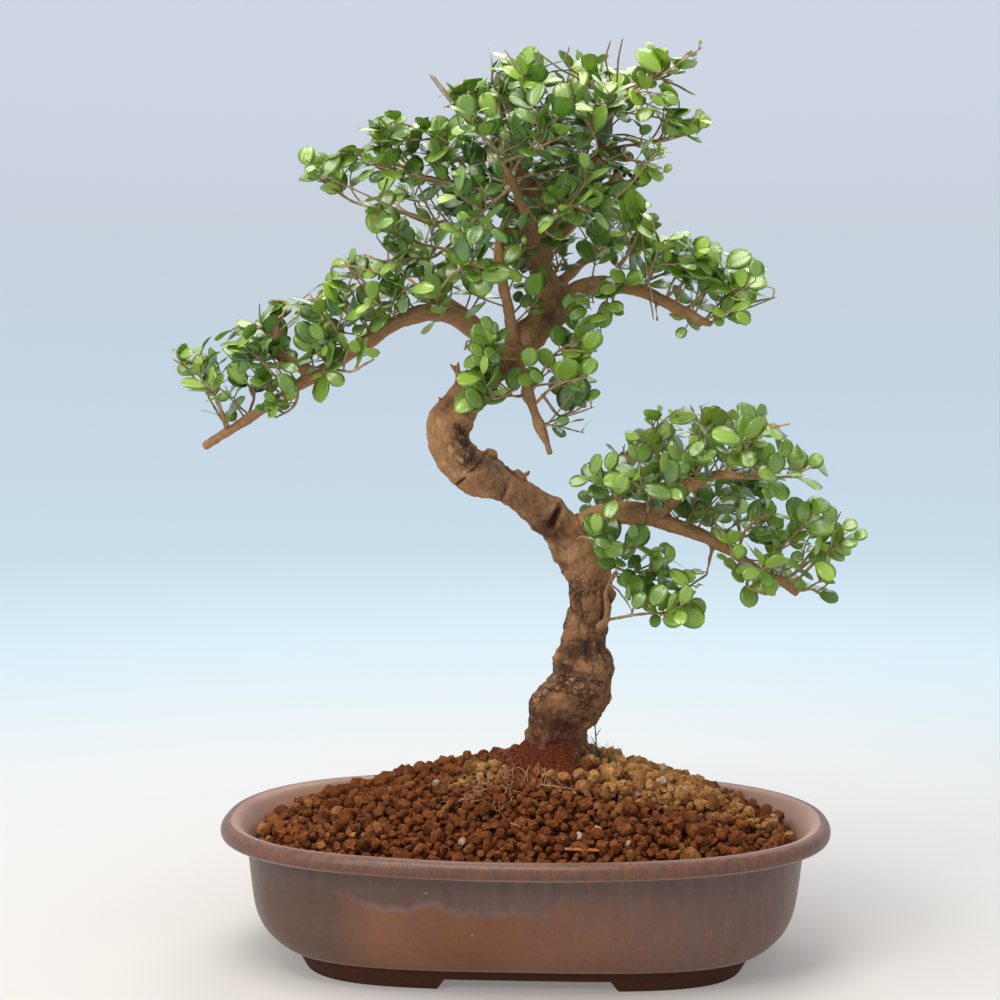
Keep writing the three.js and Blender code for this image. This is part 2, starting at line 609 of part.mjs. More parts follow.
// A point on a smooth curve through the route's points, for t from 0 to 1
function along(route, t) {
  const spans = route.length - 1;
  const place = Math.min(Math.max(t, 0) * spans, spans - 1e-9);
  const i = Math.floor(place);
  const f = place - i;
  const p1 = route[i];
  const p2 = route[i + 1];
  const p0 = i > 0 ? route[i - 1] : p1.clone().multiplyScalar(2).sub(p2);
  const p3 = i + 2 <= spans ? route[i + 2] : p2.clone().multiplyScalar(2).sub(p1);
  const weights = [
    -0.5 * f ** 3 + f ** 2 - 0.5 * f,
    1.5 * f ** 3 - 2.5 * f ** 2 + 1,
    -1.5 * f ** 3 + 2 * f ** 2 + 0.5 * f,
    0.5 * f ** 3 - 0.5 * f ** 2,
  ];
  const point = new THREE.Vector3();
  [p0, p1, p2, p3].forEach((p, k) => point.addScaledVector(p, weights[k]));
  return point;
}

function directionAlong(route, t) {
  const ahead = along(route, Math.min(t + 0.02, 1));
  return ahead.sub(along(route, Math.max(t - 0.02, 0))).normalize();
}

function lengthOf(route) {
  let sum = 0;
  for (let i = 1; i < route.length; i += 1) {
    sum += route[i].distanceTo(route[i - 1]);
  }
  return sum;
}

// The frame of a twig at t: the way it runs, and two directions square to it that keep their turn
function frameAt(twig, t) {
  const tangent = directionAlong(twig.route, t);
  const across = twig.across.clone().addScaledVector(tangent, -twig.across.dot(tangent)).normalize();
  const third = new THREE.Vector3().crossVectors(tangent, across);
  return { point: along(twig.route, t), tangent, across, third };
}

// The way that face k of a four-sided twig looks
function outOf(frame, k) {
  const angle = (k * Math.PI) / 2;
  return frame.across.clone().multiplyScalar(Math.cos(angle)).addScaledVector(frame.third, Math.sin(angle));
}

// Four corners round a twig at t. Face k lies between corners k and k + 1.
function twigRing(twig, t) {
  const frame = frameAt(twig, t);
  const radius = twig.radius + (twigTipRadius - twig.radius) * t;
  return [0, 1, 2, 3].map((j) => {
    const angle = ((j - 0.5) * Math.PI) / 2;
    const corner = frame.point.clone().addScaledVector(frame.across, radius * Math.cos(angle));
    return corner.addScaledVector(frame.third, radius * Math.sin(angle));
  });
}

// A leaf on face k: the way it points, the way its upper face looks, and its length.
// Leaves stand in opposite pairs, and each pair is turned by a quarter from the last.
function leafOn(twig, frame, pair, k) {
  const draw = (use) => chance(twig.spray, twig.index, 4 * pair + k, use);
  const out = outOf(frame, k);
  const way = frame.tangent.clone().multiplyScalar(0.45 + 0.3 * draw(0)).addScaledVector(out, 0.85);
  way.x += 0.3 * (draw(4) - 0.5);
  way.y += 0.3 * (draw(5) - 0.5);
  way.z += 0.16;
  way.normalize();
  const face = frame.point.clone().sub(crownMiddle).normalize().multiplyScalar(0.4);
  face.x += 0.9 * (draw(1) - 0.5);
  face.y += 0.9 * (draw(2) - 0.5) - 0.12;
  face.z += 0.75;
  face.addScaledVector(way, -face.dot(way)).normalize();
  const size = leafLength * (0.8 + 0.4 * draw(3)) * (pair === 0 ? 0.86 : 1);
  return { way, face, size };
}

// The cross sections of a leaf blade beyond its root, each anticlockwise seen from the tip, and its tip
function leafSections(root, { way, face, size }) {
  const across = new THREE.Vector3().crossVectors(face, way);
  const at = (run, wide, lift) => {
    const rise = leafArch * size * run * (1 - run) * 4 - leafDroop * size * run * run + lift;
    const point = root.clone().addScaledVector(way, run * size);
    return point.addScaledVector(across, wide * leafWidthShare * size).addScaledVector(face, rise);
  };
  const half = leafThickness / 2;
  const corners = [[-1, -half], [1, -half], [1, half], [-1, half]];
  const sections = bladeOutline.map(([run, wide]) => corners.map(([side, lift]) => at(run, side * wide, lift)));
  return { sections, tip: at(1, 0, 0) };
}

// Turns the order of a section's corners so that its first span twists as little as it can
function matchCorners(base, sections) {
  const middle = (ring) => ring.reduce((sum, p) => sum.add(p), new THREE.Vector3()).multiplyScalar(0.25);
  const baseMiddle = middle(base);
  const firstMiddle = middle(sections[0]);
  const twist = (shift) => base.reduce((sum, p, j) => {
    const from = p.clone().sub(baseMiddle).normalize();
    const to = sections[0][(j + shift) % 4].clone().sub(firstMiddle).normalize();
    return sum + from.dot(to);
  }, 0);
  const best = [0, 1, 2, 3].reduce((a, b) => (twist(b) > twist(a) ? b : a));
  return sections.map((ring) => ring.map((_, j) => ring[(j + best) % 4]));
}

// The twigs of a spray: those with a drawn route, then a side shoot on each long one
function twigsOf(routes, spray) {
  const twigs = [];
  const addTwig = (route, index, radius, pairs, parent, from) => {
    const twig = { route, spray, index, radius, pairs, parent, from, rootAt: 0 };
    const tangent = directionAlong(route, 0);
    const [across, third] = sideways(tangent);
    const turn = 2 * Math.PI * chance(spray, index, 0, 7);
    twig.across = across.multiplyScalar(Math.cos(turn)).addScaledVector(third, Math.sin(turn));
    twigs.push(twig);
    return twig;
  };
  routes.forEach((points, i) => {
    const own = points.map((p) => new THREE.Vector3(...p));
    if (i === 0) {
      addTwig(own, i, twigRadius, pairsOnTwig, null, 0);
    } else {
      const route = [along(twigs[0].route, branchFrom), ...own];
      addTwig(route, i, twigRadius * 0.9, pairsOnTwig, twigs[0], branchFrom);
    }
  });
  const long = twigs.filter(({ route }) => lengthOf(route) > longTwig);
  for (const parent of long) {
    const start = along(parent.route, shootFrom);
    const frame = frameAt(parent, shootFrom);
    const face = Math.floor(4 * chance(spray, parent.index, 0, 8));
    const way = frame.tangent.clone().multiplyScalar(0.6).addScaledVector(outOf(frame, face), 0.8);
    way.z += 0.2;
    way.normalize();
    const reach = shootLength * (0.8 + 0.4 * chance(spray, parent.index, 0, 9));
    const route = [start, start.clone().addScaledVector(way, reach)];
    addTwig(route, 10 + parent.index, shootRadius, 1, parent, shootFrom);
  }
  return twigs;
}

function boxesMeet(a, b) {
  return [0, 1, 2].every((k) => a.min[k] < b.max[k] && b.min[k] < a.max[k]);
}

// A solid of its own from rings of four corners and a tip, to test what it would cross
function closedSolid(rings, tip) {
  const points = [...rings.flat(), tip].map((p) => p.toArray());
  const triangles = [[0, 2, 1], [0, 3, 2]];
  rings.forEach((_, i) => {
    triangles.push(...spanTriangles([0, 1, 2, 3].map((j) => 4 * i + j),
      i + 1 < rings.length ? [0, 1, 2, 3].map((j) => 4 * i + 4 + j) : points.length - 1));
  });
  return solidOf(points, triangles);
}

// Triangles between a ring of four corners and the next ring, or a single tip corner
function spanTriangles(low, high, openFaces = []) {
  const triangles = [];
  for (let j = 0; j < 4; j += 1) {
    const next = (j + 1) % 4;
    if (openFaces.includes(j)) {
      continue;
    }
    if (Array.isArray(high)) {
      triangles.push([low[j], low[next], high[next]], [low[j], high[next], high[j]]);
    } else {
      triangles.push([low[j], low[next], high]);
    }
  }
  return triangles;
}

// Where a twig's growths leave it: a short stretch of stem for each leaf pair, side shoot or branch
function placeStretches(twig, children) {
  const length = lengthOf(twig.route);
  const stretches = [];
  for (let pair = 0; pair < twig.pairs; pair += 1) {
    const t = 1 - (nodeHalf + pair * pairStep) / length;
    if (t > Math.max(bareShare, twig.rootAt + 3 / length)) {
      stretches.push({ t, pair, children: [] });
    }
  }
  for (const child of children) {
    const clash = stretches.find((s) => Math.abs(s.t - child.from) * length < 3.2 * nodeHalf);
    const t = clash ? clash.t - (3.4 * nodeHalf) / length : child.from;
    stretches.push({ t: Math.max(t, twig.rootAt + 2.5 / length), pair: null, children: [child] });
  }
  stretches.sort((a, b) => a.t - b.t);
  for (const stretch of stretches) {
    stretch.low = twigRing(twig, stretch.t - nodeHalf / length);
    stretch.high = twigRing(twig, Math.min(stretch.t + nodeHalf / length, 1));
  }
  return stretches;
}

// The four corners of face k of a stretch, anticlockwise seen from outside
function faceCorners({ low, high }, k) {
  const next = (k + 1) % 4;
  return [low[k], low[next], high[next], high[k]];
}

// The face of a stretch that looks most nearly a given way
function nearestFace(twig, t, way) {
  const frame = frameAt(twig, t);
  return [0, 1, 2, 3].reduce((a, b) => (outOf(frame, b).dot(way) > outOf(frame, a).dot(way) ? b : a));
}

// Lays out a spray: where each twig starts, and its stretches. Rings between them follow the curve.
function layOut(routes, spray) {
  const twigs = twigsOf(routes, spray);
  const main = twigs[0];
  const step = 0.4 / lengthOf(main.route);
  while (Math.min(...twigRing(main, main.rootAt).map(distanceToWood)) < woodGap + 0.1) {
    main.rootAt += step;
  }
  for (const twig of twigs) {
    const children = twigs.filter(({ parent }) => parent === twig);
    twig.stretches = placeStretches(twig, children);
  }
  for (const twig of twigs.filter(({ parent }) => parent)) {
    const stretch = twig.parent.stretches.find(({ children }) => children.includes(twig));
    const way = twig.route[1].clone().sub(twig.route[0]).normalize();
    stretch.face = nearestFace(twig.parent, stretch.t, way);
    twig.base = faceCorners(stretch, stretch.face);
  }
  return twigs;
}

// The rings of a twig from its root to its tip, with its stretches marked on the ring below each
function ringsOf(twig) {
  const length = lengthOf(twig.route);
  const rings = twig.parent ? [] : [{ corners: twigRing(twig, twig.rootAt) }];
  let last = twig.rootAt;
  for (const stretch of twig.stretches) {
    const lowAt = stretch.t - nodeHalf / length;
    const clearStart = twig.parent ? 4 / length : 0;
    if (lowAt - last > longestSpan / length) {
      rings.push({ corners: twigRing(twig, Math.max((lowAt + last) / 2, clearStart)) });
    }
    rings.push({ corners: stretch.low, stretch });
    rings.push({ corners: stretch.high });
    last = stretch.t + nodeHalf / length;
  }
  if (last < 1 - 2 / length) {
    rings.push({ corners: twigRing(twig, 1) });
  }
  if (twig.base) {
    const matched = matchCorners(twig.base, rings.map(({ corners }) => corners));
    const shift = rings[0].corners.indexOf(matched[0][0]);
    return { rings, shift };
  }
  return { rings, shift: 0 };
}

// Grows every spray. A twig or leaf that would cross the wood, another spray or another leaf is left out.
function growSprays() {
  const woodSpace = makeWood(woodGap);
  const woodBox = woodSpace.boundingBox();
  const inPlace = [];
  const isClear = (solid) => {
    const box = solid.boundingBox();
    if (boxesMeet(box, woodBox) && solid.intersect(woodSpace).volume() > overlapAllowed) {
      return false;
    }
    return inPlace.every((other) => (
      !boxesMeet(box, other.box) || solid.intersect(other.solid).volume() < overlapAllowed
    ));
  };
  const putInPlace = (solid) => inPlace.push({ solid, box: solid.boundingBox() });
  const sprays = [];
  for (const [zone, list] of Object.entries(sprayRoutes)) {
    list.forEach((routes, i) => {
      sprays.push({ name: `spray_${zone}_${i + 1}`, twigs: layOut(routes, sprays.length) });
    });
  }
  for (const { name, twigs } of sprays) {
    for (const twig of twigs) {
      const { rings, shift } = ringsOf(twig);
      twig.rings = rings;
      twig.shift = shift;
      const corners = rings.map((ring) => ring.corners);
      if (twig.base) {
        const turned = [0, 1, 2, 3].map((j) => twig.base[(j - shift + 4) % 4]);
        corners.unshift(turned);
      }
      const tip = corners[corners.length - 1].reduce((sum, p) => sum.add(p), new THREE.Vector3()).multiplyScalar(0.25);
      const solid = closedSolid(corners, tip);
      twig.grows = (!twig.parent || twig.parent.grows) && isClear(solid);
      if (twig.grows) {
        putInPlace(solid);
      } else if (!twig.parent) {
        throw new Error(`the main twig of ${name} crosses another piece`);
      }
    }
  }
  for (let pair = 0; pair < pairsOnTwig; pair += 1) {
    for (const { twigs } of sprays) {
      for (const twig of twigs.filter(({ grows }) => grows)) {
        const stretch = twig.stretches.find((s) => s.pair === pair);
        if (!stretch) {
          continue;
        }
        const frame = frameAt(twig, stretch.t);
        stretch.leaves = {};
        for (const k of [pair % 2, pair % 2 + 2]) {
          const base = faceCorners(stretch, k);
          const leaf = leafOn(twig, frame, pair, k);
          const root = base.reduce((sum, p) => sum.add(p), new THREE.Vector3()).multiplyScalar(0.25);
          const { sections, tip } = leafSections(root, leaf);
          const matched = matchCorners(base, sections);
          const solid = closedSolid([base, ...matched], tip);
          if (isClear(solid)) {
            putInPlace(solid);
            stretch.leaves[k] = { sections: matched, tip };
          }
        }
      }
    }
  }
  return sprays.map(({ name, twigs }) => ({ name, geometry: sprayGeometry(twigs) }));
}

// The skin of a spray: each leaf, shoot and branch continues the edge of the face that it leaves
function sprayGeometry(twigs) {
  const positions = [];
  const triangles = [];
  const addCorner = (p) => positions.push(p.x, p.y, p.z) / 3 - 1;
  const addTwig = (twig, base) => {
    const rings = twig.rings.map(({ corners }) => corners.map(addCorner));
    if (base) {
      const turned = [0, 1, 2, 3].map((j) => base[(j - twig.shift + 4) % 4]);
      triangles.push(...spanTriangles(turned, rings[0]));
    } else {
      triangles.push([rings[0][0], rings[0][2], rings[0][1]], [rings[0][0], rings[0][3], rings[0][2]]);
    }
    twig.rings.forEach(({ stretch }, i) => {
      if (i + 1 === rings.length) {
        const end = rings[i];
        triangles.push([end[0], end[1], end[2]], [end[0], end[2], end[3]]);
        return;
      }
      const open = [];
      if (stretch) {
        const faceEdge = (k) => {
          const next = (k + 1) % 4;
          return [rings[i][k], rings[i][next], rings[i + 1][next], rings[i + 1][k]];
        };
        for (const child of stretch.children.filter(({ grows }) => grows)) {
          open.push(stretch.face);
          addTwig(child, faceEdge(stretch.face));
        }
        for (const [key, leaf] of Object.entries(stretch.leaves ?? {})) {
          open.push(Number(key));
          let ring = faceEdge(Number(key));
          for (const section of leaf.sections) {
            const next = section.map(addCorner);
            triangles.push(...spanTriangles(ring, next));
            ring = next;
          }
          triangles.push(...spanTriangles(ring, addCorner(leaf.tip)));
        }
      }
      triangles.push(...spanTriangles(rings[i], rings[i + 1], open));
    });
  };
  addTwig(twigs[0], null);
  const geometry = new THREE.BufferGeometry();
  geometry.setAttribute('position', new THREE.Float32BufferAttribute(positions, 3));
  geometry.setIndex(triangles.flat());
  return geometry;
}

const group = new THREE.Group();

function addPiece(name, geometry, color, roughness) {
  const material = new THREE.MeshStandardMaterial({ color, roughness, metalness: 0 });
  const mesh = new THREE.Mesh(geometry, material);
  mesh.name = name;
  group.add(mesh);
}

addPiece('pot', geometryOf(makePot()), glazeBrown, 0.45);
addPiece('drain_screen_left', geometryOf(makeScreen(-1)), screenBlack, 0.6);
addPiece('drain_screen_right', geometryOf(makeScreen(1)), screenBlack, 0.6);
addPiece('soil', geometryOf(makeSoil()), akadamaRed, 0.95);
addPiece('trunk', geometryOf(makeWood(0)), barkTan, 0.8);
for (const { name, geometry } of growSprays()) {
  addPiece(name, geometry, leafGreen, 0.4);
}

export default group;
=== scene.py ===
import math

import bpy
import numpy as np
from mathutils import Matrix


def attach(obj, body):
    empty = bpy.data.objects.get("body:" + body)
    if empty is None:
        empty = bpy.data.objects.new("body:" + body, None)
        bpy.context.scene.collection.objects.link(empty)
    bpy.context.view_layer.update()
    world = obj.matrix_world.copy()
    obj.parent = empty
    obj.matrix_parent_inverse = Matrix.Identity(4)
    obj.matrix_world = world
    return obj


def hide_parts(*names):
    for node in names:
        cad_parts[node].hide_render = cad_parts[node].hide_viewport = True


# A small-leaved privet bonsai in an oval stoneware pot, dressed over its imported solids.
# Sizes and places are in millimetres until new_piece turns them into metres. +X is the pot's right end.
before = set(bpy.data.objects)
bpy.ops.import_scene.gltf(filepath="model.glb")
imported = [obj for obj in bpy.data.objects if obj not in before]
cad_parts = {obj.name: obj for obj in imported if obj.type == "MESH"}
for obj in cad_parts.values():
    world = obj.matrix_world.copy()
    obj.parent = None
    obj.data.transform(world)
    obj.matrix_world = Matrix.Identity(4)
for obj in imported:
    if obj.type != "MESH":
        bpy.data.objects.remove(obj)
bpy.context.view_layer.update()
scene = bpy.context.scene


# Camera, a little above the rim and just right of the middle, where the photograph was taken from.
# It looks slightly down at the tree through a long lens that is lowered a little in its mount.
looks_down, looks_left = 2.258, 3.008
camera_data = bpy.data.cameras.new("camera")
camera_data.sensor_width = 36
camera_data.lens = 70.22
camera_data.shift_y = -0.08
camera = bpy.data.objects.new("camera", camera_data)
camera.location = (0.0395, -0.9945, 0.3121)
camera.rotation_euler = (math.radians(90 - looks_down), 0, math.radians(looks_left))
scene.collection.objects.link(camera)
scene.camera = camera
scene.view_settings.view_transform = "Standard"


# Studio: a pale cove all round that glows with its own light, so that every side is seen against the same
# plain ground.
# One large soft light hangs above and in front, a second stands in front on the left, a third behind.
def new_piece(name, corners, quads=(), triangles=()):
    """A smooth mesh object from corners in millimetres and from rows of four and of three corner numbers."""
    quads = np.asarray(quads, int).reshape(-1, 4)
    triangles = np.asarray(triangles, int).reshape(-1, 3)
    corners = np.asarray(corners, float).reshape(-1, 3)
    sizes = np.concatenate([np.full(len(quads), 4), np.full(len(triangles), 3)])
    loops = np.concatenate([quads.ravel(), triangles.ravel()])
    mesh = bpy.data.meshes.new(name)
    mesh.vertices.add(len(corners))
    mesh.vertices.foreach_set("co", (corners * 0.001).astype(np.float32).ravel())
    mesh.loops.add(len(loops))
    mesh.loops.foreach_set("vertex_index", loops.astype(np.int32))
    mesh.polygons.add(len(sizes))
    mesh.polygons.foreach_set("loop_start", (np.cumsum(sizes) - sizes).astype(np.int32))
    mesh.polygons.foreach_set("use_smooth", np.full(len(sizes), True))
    mesh.update(calc_edges=True)
    piece = bpy.data.objects.new(name, mesh)
    scene.collection.objects.link(piece)
    return piece


def grid_quads(rows, columns):
    """Quads of a grid of rows by columns that joins its last column to its first."""
    i, j = np.arange(rows - 1)[:, None] * columns, np.arange(columns)[None, :]
    after = (j + 1) % columns
    return np.stack([i + j, i + after, i + columns + after, i + columns + j], axis=-1).reshape(-1, 4)


def fan(hub, first, count, forward=True):
    """Triangles from a hub to each two neighbours in a ring of corners that starts at the first."""
    near = np.arange(count)
    far = (near + 1) % count
    return np.stack([np.full(count, hub), first + (near if forward else far),
                     first + (far if forward else near)], axis=-1)


def closed_grid(grid, start, end, inward=False):
    """Rings of corners as one skin with a fan at each end. Gives its corners, quads and triangles."""
    rows, columns = grid.shape[:2]
    quads = grid_quads(rows, columns)
    hub = rows * columns
    ends = np.vstack([fan(hub, 0, columns, inward), fan(hub + 1, hub - columns, columns, not inward)])
    return np.vstack([grid.reshape(-1, 3), [start], [end]]), quads[:, ::-1] if inward else quads, ends


def turns(count, share=0.0):
    """Angles evenly round a full turn."""
    return (np.arange(count) + share) * 2 * math.pi / count


def paint(colour):
    """The shader's colour for a colour given as on a screen, 0 to 255."""
    shares = np.array(colour) / 255
    light = np.where(shares <= 0.04045, shares / 12.92, ((shares + 0.055) / 1.055) ** 2.4)
    return (*light, 1.0)


class Level:
    """What a node gives out. Sums on levels add the nodes that work them out in the finish in hand."""

    def __init__(self, socket):
        self.socket = socket

    def __add__(self, other):
        return sums("ADD", self, other)

    def __sub__(self, other):
        return sums("SUBTRACT", self, other)

    def __rsub__(self, other):
        return sums("SUBTRACT", other, self)

    def __mul__(self, other):
        return sums("MULTIPLY", self, other)

    def __abs__(self):
        return sums("ABSOLUTE", self)


def feed(socket, value):
    """Links a level to a socket, or sets a fixed value there."""
    if isinstance(value, Level):
        tree.links.new(value.socket, socket)
    else:
        socket.default_value = value


def add_node(kind, values, **settings):
    """Adds a node to the finish in hand, sets its properties, and feeds its inputs by number or name."""
    node = tree.nodes.new("ShaderNode" + kind)
    for name, value in settings.items():
        setattr(node, name, value)
    for name, value in values.items():
        feed(node.inputs[name], value)
    return node


def level(kind, values=(), output=0, **settings):
    """Adds a node and gives one of its outputs."""
    return Level(add_node(kind, dict(values), **settings).outputs[output])


def sums(operation, first, second=0.0):
    """One sum on two numbers, such as ADD or MAXIMUM."""
    return level("Math", {0: first, 1: second}, operation=operation)


def fade(value, low, high, out_low=0.0, out_high=1.0):
    """A number that goes evenly from one level to another as a value goes from low to high."""
    return level("MapRange", {0: value, 1: low, 2: high, 3: out_low, 4: out_high})


def mix(share, first, second):
    """A colour between two, by a share. Each is a level, or a colour as on a screen, 0 to 255."""
    ends = [end if isinstance(end, Level) else paint(end) for end in (first, second)]
    return level("Mix", {"Factor": share, 6: ends[0], 7: ends[1]}, 2, data_type="RGBA")


def own_place():
    """Each point's place within its piece, in metres."""
    return level("TexCoord", output="Object")


def numbers_of(place):
    """The three numbers of a place, or of a colour."""
    return [Level(socket) for socket in add_node("SeparateXYZ", {0: place}).outputs]


def new_finish(name, roughness, **values):
    """A material with one shader, which is then the finish in hand. Returns it and the shader's inputs."""
    global tree
    material = bpy.data.materials.new(name)
    material.use_nodes = True
    tree = material.node_tree
    shader = tree.nodes["Principled BSDF"].inputs
    for key, value in {"Roughness": roughness, **values}.items():
        shader[key.replace("_", " ")].default_value = value
    return material, shader


cove_columns = 96
floor_glow, wall_glow = 0.2, 0.65
floor_radii, wall_radius, bend_radius, wall_top = [1, 600, 1400], 2800, 900, 2600
bend = np.linspace(0, math.pi / 2, 14)
cove_radius = np.concatenate([floor_radii, wall_radius - bend_radius * (1 - np.sin(bend)), [wall_radius]])
cove_height = np.concatenate([[0, 0, 0], bend_radius * (1 - np.cos(bend)), [wall_top]])
# A flat floor that rises in a round bend into a wall, turned about the Z axis
cove_rings = np.stack(np.broadcast_arrays(
    cove_radius[:, None] * np.cos(turns(cove_columns)), cove_radius[:, None] * np.sin(turns(cove_columns)),
    cove_height[:, None]), axis=-1)
cove = new_piece(
    "studio_cove", np.vstack([cove_rings.reshape(-1, 3), [[0, 0, 0]]]),
    grid_quads(len(cove_rings), cove_columns)[:, ::-1], fan(cove_columns * len(cove_rings), 0, cove_columns))
cove_finish, shader = new_finish("pale_glowing_cove", 0.9, Specular_IOR_Level=0.0)
x, y, z = numbers_of(own_place())
from_middle = level("VectorMath", {0: level("CombineXYZ", {0: x, 1: y})}, "Value", operation="LENGTH")
# The cove's glow paints the falloff of light: its tone runs out over the floor, from warm white under the pot
# to pale blue, and on up the wall
run = fade(from_middle, 0.0, 1.9, 0.0, 0.6) + fade(z, 0.0, 1.2, 0.0, 0.4)
ramp = add_node("ValToRGB", {0: run})
stops = ramp.color_ramp.elements
stops[0].color, stops[1].color = paint((250, 242, 234)), paint((212, 213, 225))
for stop, tone in (
    (0.15, (241, 243, 241)), (0.23, (230, 240, 243)), (0.34, (217, 236, 243)), (0.6, (198, 216, 226)),
    (0.68, (196, 210, 221)), (0.78, (200, 207, 215)), (0.88, (206, 211, 222)),
):
    stops.new(stop).color = paint(tone)
wall_tone = Level(ramp.outputs[0])
# Painted shade: the glow is dimmed on the camera side, so that less light falls back on the front of the pot
glow_dimmed_near_camera = fade(y, -0.4, -1.9, 1.0, 0.55)
feed(shader["Emission Color"], wall_tone)
feed(shader["Emission Strength"], fade(run, 0.0, 0.6, floor_glow, wall_glow) * glow_dimmed_near_camera)
feed(shader["Base Color"], mix(0.5, wall_tone, (0, 0, 0)))
cove_finish.cycles.emission_sampling = "NONE"
cove.data.materials.append(cove_finish)


def add_soft_light(name, place, aim, size, power, colour=(1, 1, 1)):
    """A square soft box at a place, turned to face the point it aims at, both in metres."""
    data = bpy.data.lights.new(name, "AREA")
    data.shape = "SQUARE"
    data.size = size
    data.energy = power
    data.color = colour
    light = bpy.data.objects.new(name, data)
    light.location = place
    along_x, along_y, along_z = np.subtract(aim, place)
    tilt = math.atan2(math.hypot(along_x, along_y), -along_z)
    light.rotation_euler = (tilt, 0, math.atan2(along_y, along_x) - math.pi / 2)
    scene.collection.objects.link(light)


warm_light = (1.0, 0.96, 0.9)
add_soft_light("top_light", (-0.3, -0.45, 1.7), (0, 0, 0.2), 1.0, 24, warm_light)
add_soft_light("front_light", (-1.3, -1.5, 1.3), (0, 0, 0.25), 0.8, 16, warm_light)
add_soft_light("back_light", (0.2, 1.0, 1.5), (0, 0, 0.3), 1.1, 10)
world = bpy.data.worlds.new("studio_air")
world.use_nodes = True
air = world.node_tree.nodes["Background"].inputs
air["Color"].default_value = paint((232, 240, 250))
air["Strength"].default_value = 0.5
scene.world = world


# Pot: oval stoneware with a rolled lip, a rounded belly and a recessed foot ring, thrown and fired in one.
# The foot is cut away in front and behind, and two holes through the floor let water out.
pot_length, pot_depth, pot_columns = 310, 202, 224
floor_below, floor_inside = 9, 14.5
foot_cut_middle, foot_cut_reach = 4, 110
foot_cut_face = [(-46, -2.6), (46, -2.6), (40, 5.2), (-40, 5.2)]
drain_radius, drain_middle, drill_from, drill_to, drill_sides = 9, 48, 2, 22, 40
sharp_angle = math.radians(40)
# Inset from the rim in length and in depth, height, and squareness, from the recess under the floor,
# round the foot, belly and lip, and down the inner wall to the floor inside
pot_profile = np.array([
    [100, 70, 9, 3.2], [60, 50, 9, 3.4], [56.5, 46.5, 8.5, 3.4], [56, 46, 6, 3.4], [56, 46, 0, 3.4],
    [55.2, 45.2, 0, 3.4], [46, 35.5, 0, 3.6], [44.6, 34.2, 0.2, 3.6], [43, 34, 3, 3.6], [41, 33.2, 6, 3.5],
    [40, 33, 8.6, 3.5], [38.6, 32.8, 9.6, 3.45], [35.5, 31, 9.8, 3.4], [32, 28, 11.3, 3.2],
    [28, 24.5, 14, 3.1], [22, 19.5, 20, 3.0], [18, 16, 28, 2.85], [15.8, 13.9, 38, 2.6],
    [14, 12.9, 50, 2.45], [12.7, 12, 60, 2.37], [12, 11.3, 61.9, 2.37], [9, 8.6, 61.6, 2.37],
    [4.5, 4.2, 61.4, 2.37], [0.6, 0.6, 62.4, 2.37], [-0.5, -0.5, 65.5, 2.37], [0.3, 0.3, 68.6, 2.37],
    [3, 3, 70.3, 2.37], [6.6, 6.6, 70.2, 2.37], [9.6, 9.4, 68.6, 2.37], [12, 11.8, 65.4, 2.37],
    [14.8, 14.3, 61, 2.37], [18.5, 17.5, 52, 2.42], [24, 22, 30, 2.75], [33, 30, 17, 2.95],
    [41, 36.5, 14.5, 3.15], [90, 66, 14.5, 3.1],
])


def round_off(rows, times):
    """Cuts the corners of a line of rows: each span keeps points a quarter and three quarters along."""
    for _ in range(times):
        near = 0.75 * rows[:-1] + 0.25 * rows[1:]
        far = 0.25 * rows[:-1] + 0.75 * rows[1:]
        inner = np.stack([near, far], axis=1).reshape(-1, rows.shape[1])
        rows = np.vstack([rows[:1], inner, rows[-1:]])
    return rows


stir = (374761393, 668265263, 2246822519, 3266489917)


def draw_lots(*wholes):
    """A repeatable draw from 0 to 1 for each set of whole numbers, made by mixing their 32 bits."""
    mixed = np.zeros(np.broadcast(*wholes).shape, np.uint64)
    for whole, factor in zip(wholes, stir):
        mixed ^= (np.asarray(whole).astype(np.int64) + 100003).astype(np.uint64) * np.uint64(factor)
    mixed &= np.uint64(0xFFFFFFFF)
    for shift, factor in ((15, stir[2]), (13, stir[3])):
        mixed = ((mixed ^ (mixed >> np.uint64(shift))) * np.uint64(factor)) & np.uint64(0xFFFFFFFF)
    return (mixed ^ (mixed >> np.uint64(16))).astype(float) / 2 ** 32


def lumps(points, grain, kind=0):
    """Smooth noise from -1 to 1: a draw at each corner of a cubic net of the grain's size, eased between."""
    scaled = np.asarray(points, float) / grain
    cell = np.floor(scaled).astype(np.int64)
    share = scaled - cell
    share = share * share * (3 - 2 * share)
    total = np.zeros(scaled.shape[:-1])
    for corner in np.ndindex(2, 2, 2):
        lot = draw_lots(*(cell[..., k] + corner[k] for k in range(3)), kind)
        weight = np.prod([share[..., k] if corner[k] else 1 - share[..., k] for k in range(3)], axis=0)
        total = total + weight * (2 * lot - 1)
    return total


wall_squareness = 2.37


def oval(inset_x, inset_y, squareness, angle):
    """The pot's rounded oval: half length times the cosine, and half depth times the sine, each to 2 / n."""
    c, s = np.cos(angle), np.sin(angle)
    return ((pot_length / 2 - inset_x) * np.sign(c) * np.abs(c) ** (2 / squareness),
            (pot_depth / 2 - inset_y) * np.sign(s) * np.abs(s) ** (2 / squareness))


